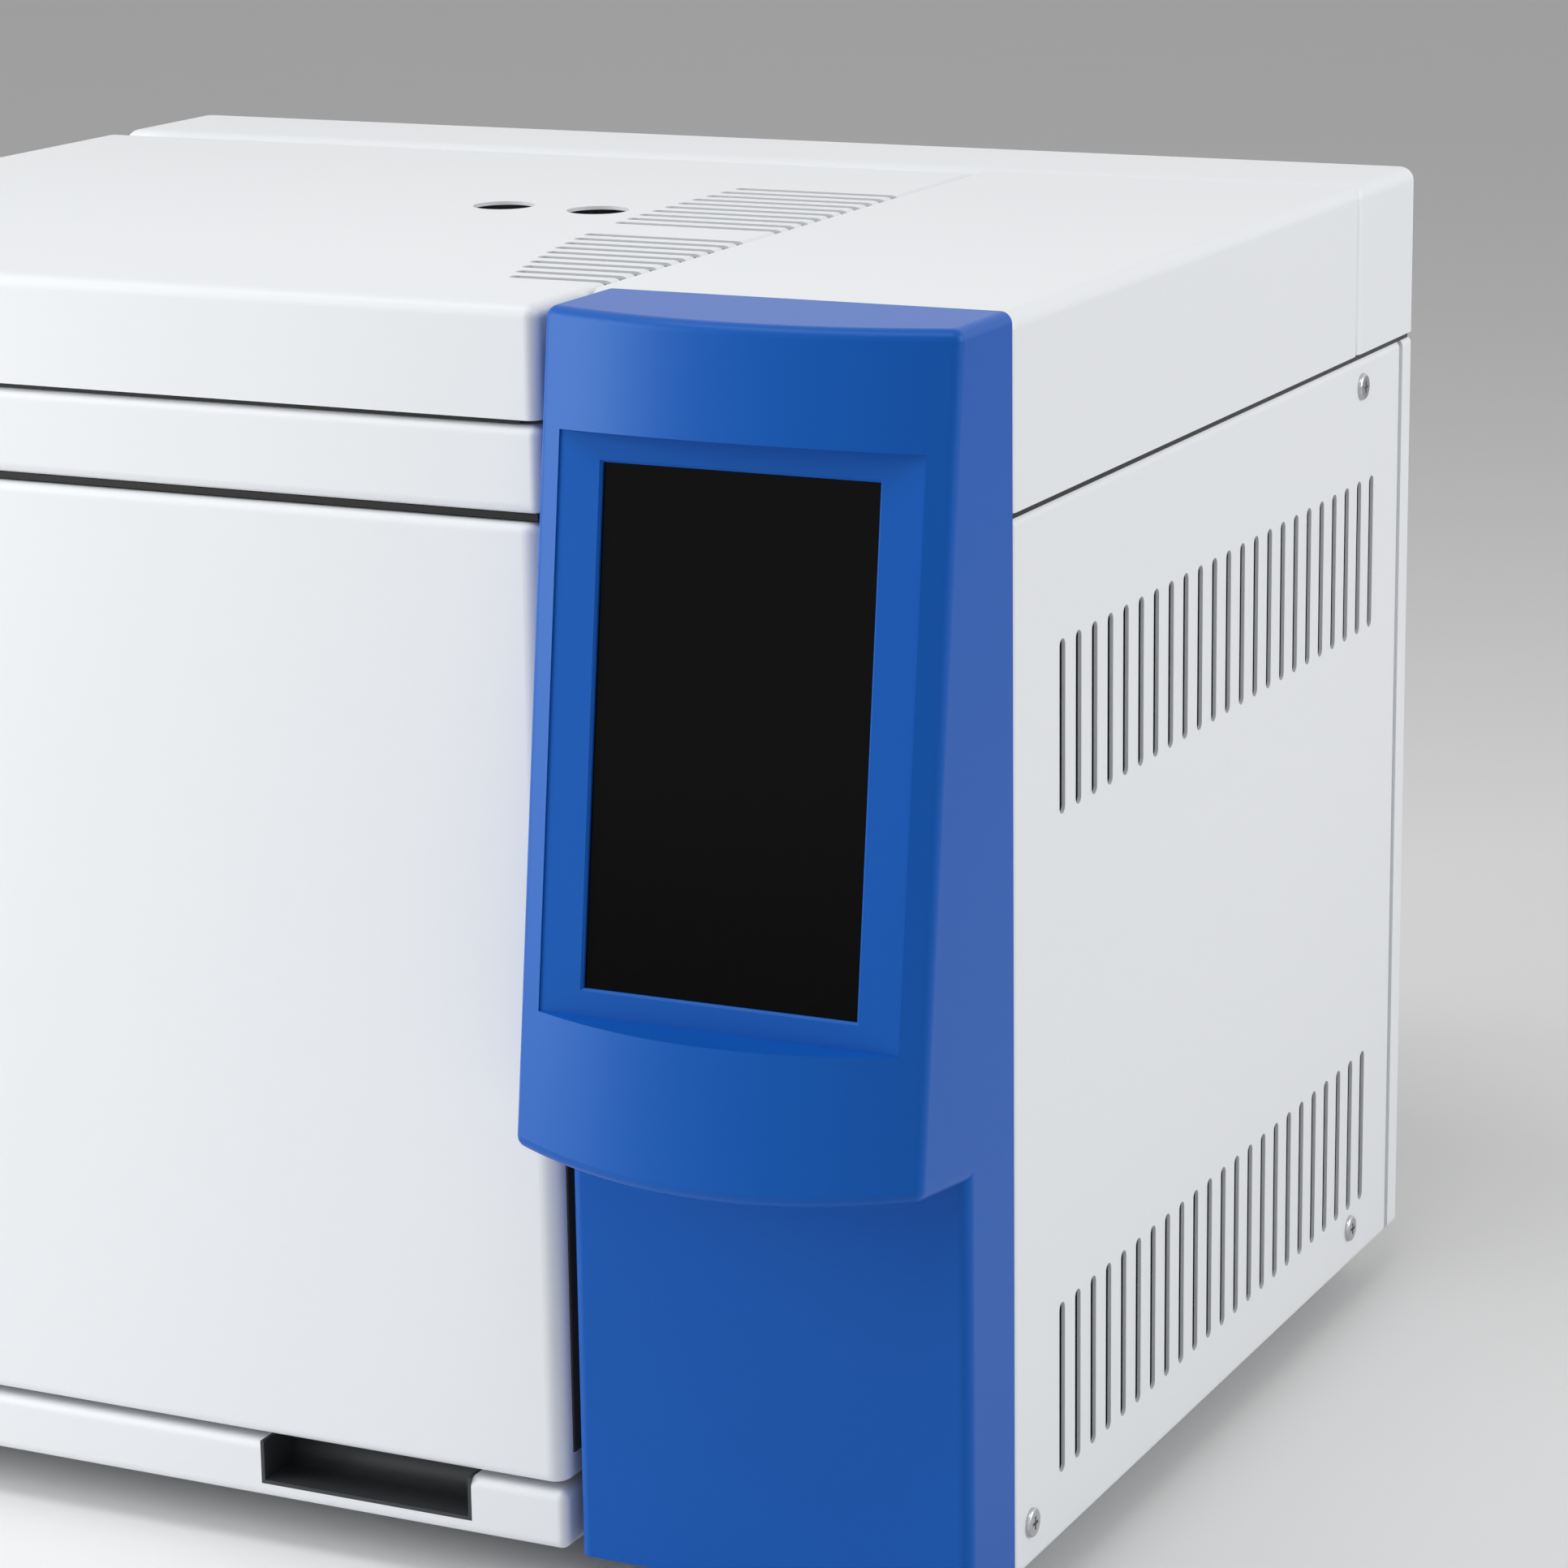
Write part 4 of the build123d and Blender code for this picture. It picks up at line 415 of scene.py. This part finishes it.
bpy.ops.object.join()
winding.data.materials.clear()
winding.data.materials.append(polyimide)
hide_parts("capillary")
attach(winding, "cabinet")
print("capillary replaced:", len(winding.data.polygons), "faces")

# %% [markdown]
# ## Inlet blades
# The mains inlet has three flat blades. The moulding and the blades are one solid, so the metal is added
# here: each blade is a cube drawn out to its size, a hair larger than the one it covers, with its edges
# bevelled.

# %% Mains inlet blades
inlet_low, inlet_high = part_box("power_inlet")
inlet_x = (inlet_low[0] + inlet_high[0]) / 2
socket_up = 0.018            # the socket's middle, above the moulding's lower edge
blade_width, blade_depth, blade_height = 0.0023, 0.0128, 0.0043
blade_back = 0.002 + 0.0028  # the shroud's rim, and the blade's tip behind it
blade_places = ((-0.007, -0.0015), (0.007, -0.0015), (0.0, 0.0025))     # live, neutral and earth
blades = []
for across, up in blade_places:
    bpy.ops.object.select_all(action="DESELECT")
    middle = (inlet_x + across, inlet_high[1] - blade_back - blade_depth / 2, inlet_low[2] + socket_up + up)
    bpy.ops.mesh.primitive_cube_add(size=1.0, location=middle)
    blade = bpy.context.object
    blade.scale = (blade_width, blade_depth, blade_height)
    settle(blade)
    round_edges = blade.modifiers.new("round", "BEVEL")
    round_edges.width = 0.0006
    round_edges.segments = 2
    bpy.ops.object.modifier_apply(modifier=round_edges.name)
    blades.append(blade)
select_only(*blades)
bpy.ops.object.join()
blades = bpy.context.object
blades.name = "inlet_blades"
blades.data.materials.append(fitting_steel)
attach(blades, "cabinet")
print("blades joined:", len(blades.data.polygons), "faces")

# %% [markdown]
# ## Seals, trims and filters, as painted shade
# The open joints and vents of the cabinet are made to look black by dark foam and rubber pieces put in them:
# they are painted shade, standing for the shade that falls in the joints. Each piece here is a cube
# drawn out between two corners, with its edges rounded by a Bevel modifier. Foam is matt and coarse, so its
# grain is deep and it hardly shines.

# %% Foam for painted shade, and strips
mm = 0.001
# painted shade: black foam that makes joints and vent slots read black
foam = finish("black_foam_painted_shade", ("#0d0d0e", "#090909"), 0.92, grain=900, bump=0.5, depth=0.0004, drift=30.0,
              specular=0.1)
# painted shade: grey foam that makes the lid's vent slots read dark
grey_foam = finish("grey_foam_painted_shade", ("#37393c", "#2a2c2f"), 0.92, grain=900, bump=0.5, depth=0.0004,
                   drift=30.0, specular=0.1)
wide_round, cord_round, trim_round = 0.4 * mm, 0.2 * mm, 0.3 * mm


def strip(name, low, high, material, body, rounding=wide_round):
    """A strip between two corners with rounded edges, that rides on a body."""
    bpy.ops.object.select_all(action="DESELECT")
    middle = [(a + b) / 2 for a, b in zip(low, high)]
    bpy.ops.mesh.primitive_cube_add(size=1.0, location=middle)
    piece = bpy.context.object
    piece.name = name
    piece.scale = [b - a for a, b in zip(low, high)]
    settle(piece)
    soft = piece.modifiers.new("soft", "BEVEL")
    soft.width = rounding
    soft.segments = 3
    bpy.ops.object.modifier_apply(modifier=soft.name)
    bpy.ops.object.shade_smooth_by_angle(angle=math.radians(40))
    piece.data.materials.append(material)
    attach(piece, body)
    return piece


print("strip rounding:", wide_round, cord_round, trim_round)

# %% [markdown]
# ## Lid lip and deck trim, as painted shade
# The lid carries a black rubber lip that rests just above the strip below it, and the deck's raw edge over
# the
# door wears a black rubber trim: both are painted shade, so the gaps above and below the strip read black.
# Both take their places from the boxes of the pieces that carry them.

# %% Lip and trim
sheet = 1.5 * mm
lid_low, lid_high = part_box("lid_shell")
strip_low, strip_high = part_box("front_strip")
lip_ends = 8 * mm
lip_depth = 5.5 * mm
lip_below, lip_above = 1.5 * mm, 4 * mm      # below and above the lid's lower edge
# painted shade: a black lip that darkens the gap between the lid and the strip
strip("lid_front_seal_painted_shade", (lid_low[0] + lip_ends, lid_low[1] + sheet, lid_low[2] - lip_below),
      (lid_high[0] - lip_ends, lid_low[1] + lip_depth, lid_low[2] + lip_above), rubber, "top_lid")
trim_left, trim_right = 6 * mm, 2 * mm
trim_front, trim_back = 2.4 * mm, 12 * mm
trim_drop = 2.6 * mm
# painted shade: a black trim that darkens the gap between the strip and the door
strip("deck_edge_trim_painted_shade",
      (strip_low[0] + trim_left, strip_low[1] + trim_front, strip_low[2] - trim_drop),
      (strip_high[0] - trim_right, strip_low[1] + trim_back, strip_low[2]), rubber, "cabinet")
print("lip from", round(lid_low[0] + lip_ends, 4), "to", round(lid_high[0] - lip_ends, 4))

# %% [markdown]
# ## Seam under the covers, as painted shade
# Between the top covers and the panels runs an open joint on three sides. A black rubber cord lies just
# inside
# it, with black foam behind the cord: both are painted shade, which makes the joint show as a black line.

# %% Foam and cords of the seam, as painted shade
cover_low, cover_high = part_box("right_top_cover")
panel_low, panel_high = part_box("right_side_panel")
rear_low, rear_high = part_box("rear_top_cover")
seam_height = (panel_high[2] - 0.9 * mm, cover_low[2] + 6 * mm)
seam_depth = 1.2 * mm        # from the covers' sides in to the cord
cord_width, cord_front, cord_end = 3 * mm, 3 * mm, 4 * mm
foam_width, foam_front, foam_corner = 8 * mm, 2 * mm, 9 * mm
# painted shade: black foam and cords fill the seam so that it reads as a black line
strip("seam_shade_foam_right", (cover_high[0] - foam_width, cover_low[1] + foam_front, seam_height[0]),
      (cover_high[0] - sheet, rear_high[1] - foam_width, seam_height[1]), foam, "cabinet")
strip("seam_shade_cord_right", (cover_high[0] - cord_width, cover_low[1] + cord_front, seam_height[0]),
      (cover_high[0] - seam_depth, rear_high[1] - cord_end, cover_low[2]), rubber, "cabinet", cord_round)
strip("seam_shade_cord_left", (rear_low[0] + seam_depth, cover_low[1] + cord_front, seam_height[0]),
      (rear_low[0] + cord_width, rear_high[1] - cord_end, cover_low[2]), rubber, "cabinet", cord_round)
strip("seam_shade_cord_rear", (rear_low[0] + cord_end, rear_high[1] - cord_width, seam_height[0]),
      (rear_high[0] - cord_end, rear_high[1] - seam_depth, cover_low[2]), rubber, "cabinet", cord_round)
strip("seam_shade_foam_left", (rear_low[0] + sheet, cover_low[1] + foam_front, seam_height[0]),
      (rear_low[0] + foam_width, rear_high[1] - foam_width, seam_height[1]), foam, "cabinet")
strip("seam_shade_foam_rear", (rear_low[0] + foam_corner, rear_high[1] - foam_width, seam_height[0]),
      (rear_high[0] - foam_corner, rear_high[1] - sheet, seam_height[1]), foam, "cabinet")
print("seam from z", round(seam_height[0], 4), "to", round(seam_height[1], 4))

# %% [markdown]
# ## Felt and trim beside the door, as painted shade
# A thin black felt on the column's side, where the door and the lid pass it, and a black rubber trim on the
# door's free edge are painted shade. Together they make the black line between the door and the column, where
# the door's side lies in shade.

# %% Column felt and door trim
column_low, column_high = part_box("column_moulding")
door_low, door_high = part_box("door_shell")
rear_panel_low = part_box("rear_panel")[0]
felt_thickness = 1.2 * mm
felt_front, felt_low, felt_top = 14 * mm, 4 * mm, 16 * mm    # inside the lid's front, rear panel, lid's top
# painted shade: black felt that darkens the gap beside the column
strip("column_felt_painted_shade",
      (column_low[0] - felt_thickness, lid_low[1] + felt_front, rear_panel_low[2] + felt_low),
      (column_low[0], panel_low[1], lid_high[2] - felt_top), foam, "cabinet")
edge_in, edge_out = 0.1 * mm, 0.9 * mm       # either side of the door's free face
edge_front, edge_back = 7 * mm, 17 * mm
edge_low, edge_top = 12 * mm, 8 * mm
# painted shade: black trim on the door's side, which lies in shade in this gap
strip("door_edge_trim_painted_shade", (door_high[0] - edge_in, door_low[1] + edge_front, door_low[2] + edge_low),
      (door_high[0] + edge_out, door_low[1] + edge_back, door_high[2] - edge_top),
      rubber, "oven_door", trim_round)
print("door from z", round(door_low[2], 4), "to", round(door_high[2], 4))

# %% [markdown]
# ## Dark pads behind the vents, as painted shade
# A pad of open foam lies behind each group of vents as painted shade, so that the slots read dark. In the lid
# it is grey and folded over the right edge, as the slots are. Behind the side panels it is black, one pad for
# each row of vents.

# %% Dark pads behind the vents
left_low, left_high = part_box("left_side_panel")
pad_gap = 0.2 * mm        # between a pad and the sheet before it
lid_pad = (8 * mm, 292 * mm)                 # behind the panel's front edge
lid_pad_across = (84 * mm, 6 * mm)           # in from the lid's right side
lid_pad_depth = 6.5 * mm
# painted shade: grey foam that darkens the lid's slots
strip("lid_shade_pad_top",
      (lid_high[0] - lid_pad_across[0], panel_low[1] + lid_pad[0], lid_high[2] - lid_pad_depth),
      (lid_high[0] - lid_pad_across[1], panel_low[1] + lid_pad[1], lid_high[2] - sheet - pad_gap),
      grey_foam, "top_lid")
side_pad_depth = 7 * mm
side_pad_drop = (16 * mm, 6 * mm)            # down from the lid's top
strip("lid_shade_pad_side",
      (lid_high[0] - side_pad_depth, panel_low[1] + lid_pad[0], lid_high[2] - side_pad_drop[0]),
      (lid_high[0] - sheet - pad_gap, panel_low[1] + lid_pad[1], lid_high[2] - side_pad_drop[1]),
      grey_foam, "top_lid")
pad_thickness = 7 * mm
pad_margin = 7 * mm
vent_rows = {"upper": (128.8 * mm, 196.0 * mm), "lower": (389.9 * mm, 459.6 * mm)}    # below the top
vent_span = (34 * mm, 410 * mm)              # behind the panel's front edge
pad_sides = {"right": (panel_high[0] - pad_thickness, panel_high[0] - sheet - pad_gap),
             "left": (left_low[0] + sheet + pad_gap, left_low[0] + pad_thickness)}
# painted shade: black foam that darkens the side panels' slots
for side, (x_low, x_high) in pad_sides.items():
    for row, (top, bottom) in vent_rows.items():
        strip(f"filter_{side}_{row}",
              (x_low, panel_low[1] + vent_span[0], column_high[2] - bottom - pad_margin),
              (x_high, panel_low[1] + vent_span[1], column_high[2] - top + pad_margin), foam, "cabinet")
print("filter pads:", 2 + len(pad_sides) * len(vent_rows))

# %% [markdown]
# ## Floor and background
# A wide pale floor takes the soft shadow. The world gives weak light all round, but where the camera, a
# mirror-like surface or a glass looks at it, it is white. A Light Path node tells these rays from the rest.

# %% Floor
floor_size = 14.0
bpy.ops.object.select_all(action="DESELECT")
bpy.ops.mesh.primitive_plane_add(size=floor_size, location=(0, 0, 0))
floor = bpy.context.object
floor.name = "floor"
floor_finish = finish("pale_studio_floor", ("#f0f0f0", "#eeeeee"), 0.7, grain=60, bump=0.0, specular=0.2)
floor.data.materials.append(floor_finish)
print("floor", floor_size, "m wide")

# %% World
world = bpy.data.worlds.new("studio")
bpy.context.scene.world = world
world.use_nodes = True
sky = world.node_tree
sky.nodes.clear()
ray = add(sky, "LightPath")
seen = add(sky, "Math", {"operation": "MAXIMUM"}, _0=ray["Is Camera Ray"], _1=ray["Is Glossy Ray"])[0]
seen = add(sky, "Math", {"operation": "MAXIMUM"}, _0=seen, _1=ray["Is Transmission Ray"])[0]
ambient = 0.32
strength = add(sky, "MapRange", Value=seen, To_Min=ambient, To_Max=1.0)["Result"]
dome = add(sky, "Background", Color=(1, 1, 1, 1), Strength=strength)[0]
add(sky, "OutputWorld", Surface=dome)
print("ambient light", ambient)

# %% [markdown]
# ## Lamps
# Three soft boxes light it. A tall one on the left, beside the door, makes the bright edge that fades across
# the column's round front. A wide, narrow one above evens out the lid, and one on the right opens the vented
# side. Each is aimed at a point by turning its own -Z axis that way.

# %% Soft boxes
def soft_box(name, place, target, size, power):
    """A rectangular area lamp aimed at a point."""
    light = bpy.data.lights.new(name, "AREA")
    light.shape = "RECTANGLE"
    light.size, light.size_y = size
    light.energy = power
    lamp = bpy.data.objects.new(name, light)
    bpy.context.scene.collection.objects.link(lamp)
    lamp.location = place
    lamp.rotation_euler = (Vector(target) - Vector(place)).to_track_quat("-Z", "Y").to_euler()
    return lamp


column_middle = [(low + high) / 2 for low, high in zip(column_low, column_high)]
soft_box("left_box", (-1.75, -1.25, 0.7), column_middle, (1.0, 1.9), 38.0)
soft_box("top_box", (-0.1, -0.75, 2.2), (0, -0.1, 0.4), (2.2, 0.7), 17.5)
soft_box("right_box", (2.2, 0.4, 1.2), (0.25, 0, 0.3), (1.4, 1.4), 22.0)
print("lamps aim at", [round(c, 3) for c in column_middle])

# %% [markdown]
# ## Camera
# The camera stands on the right, a little above the lid, about two metres away, and looks with a long lens.
# It is turned with three plain rotations: tipped up from looking down, turned round the vertical, and rolled
# a hair about its own axis.

# %% Camera
azimuth = math.radians(25.824)
elevation = math.radians(14.264)
roll = math.radians(-0.809)
camera_data = bpy.data.cameras.new("camera")
camera_data.sensor_width = 36.0
camera_data.lens = 112.25
camera = bpy.data.objects.new("camera", camera_data)
bpy.context.scene.collection.objects.link(camera)
stand = Vector((0.9877, panel_low[1] - 1.5924, 0.7771))
turn = Matrix.Rotation(azimuth, 4, "Z") @ Matrix.Rotation(math.pi / 2 - elevation, 4, "X")
camera.matrix_world = Matrix.Translation(stand) @ turn @ Matrix.Rotation(roll, 4, "Z")
bpy.context.scene.camera = camera
bpy.context.scene.view_settings.view_transform = "Standard"
print("camera at", [round(c, 3) for c in stand])
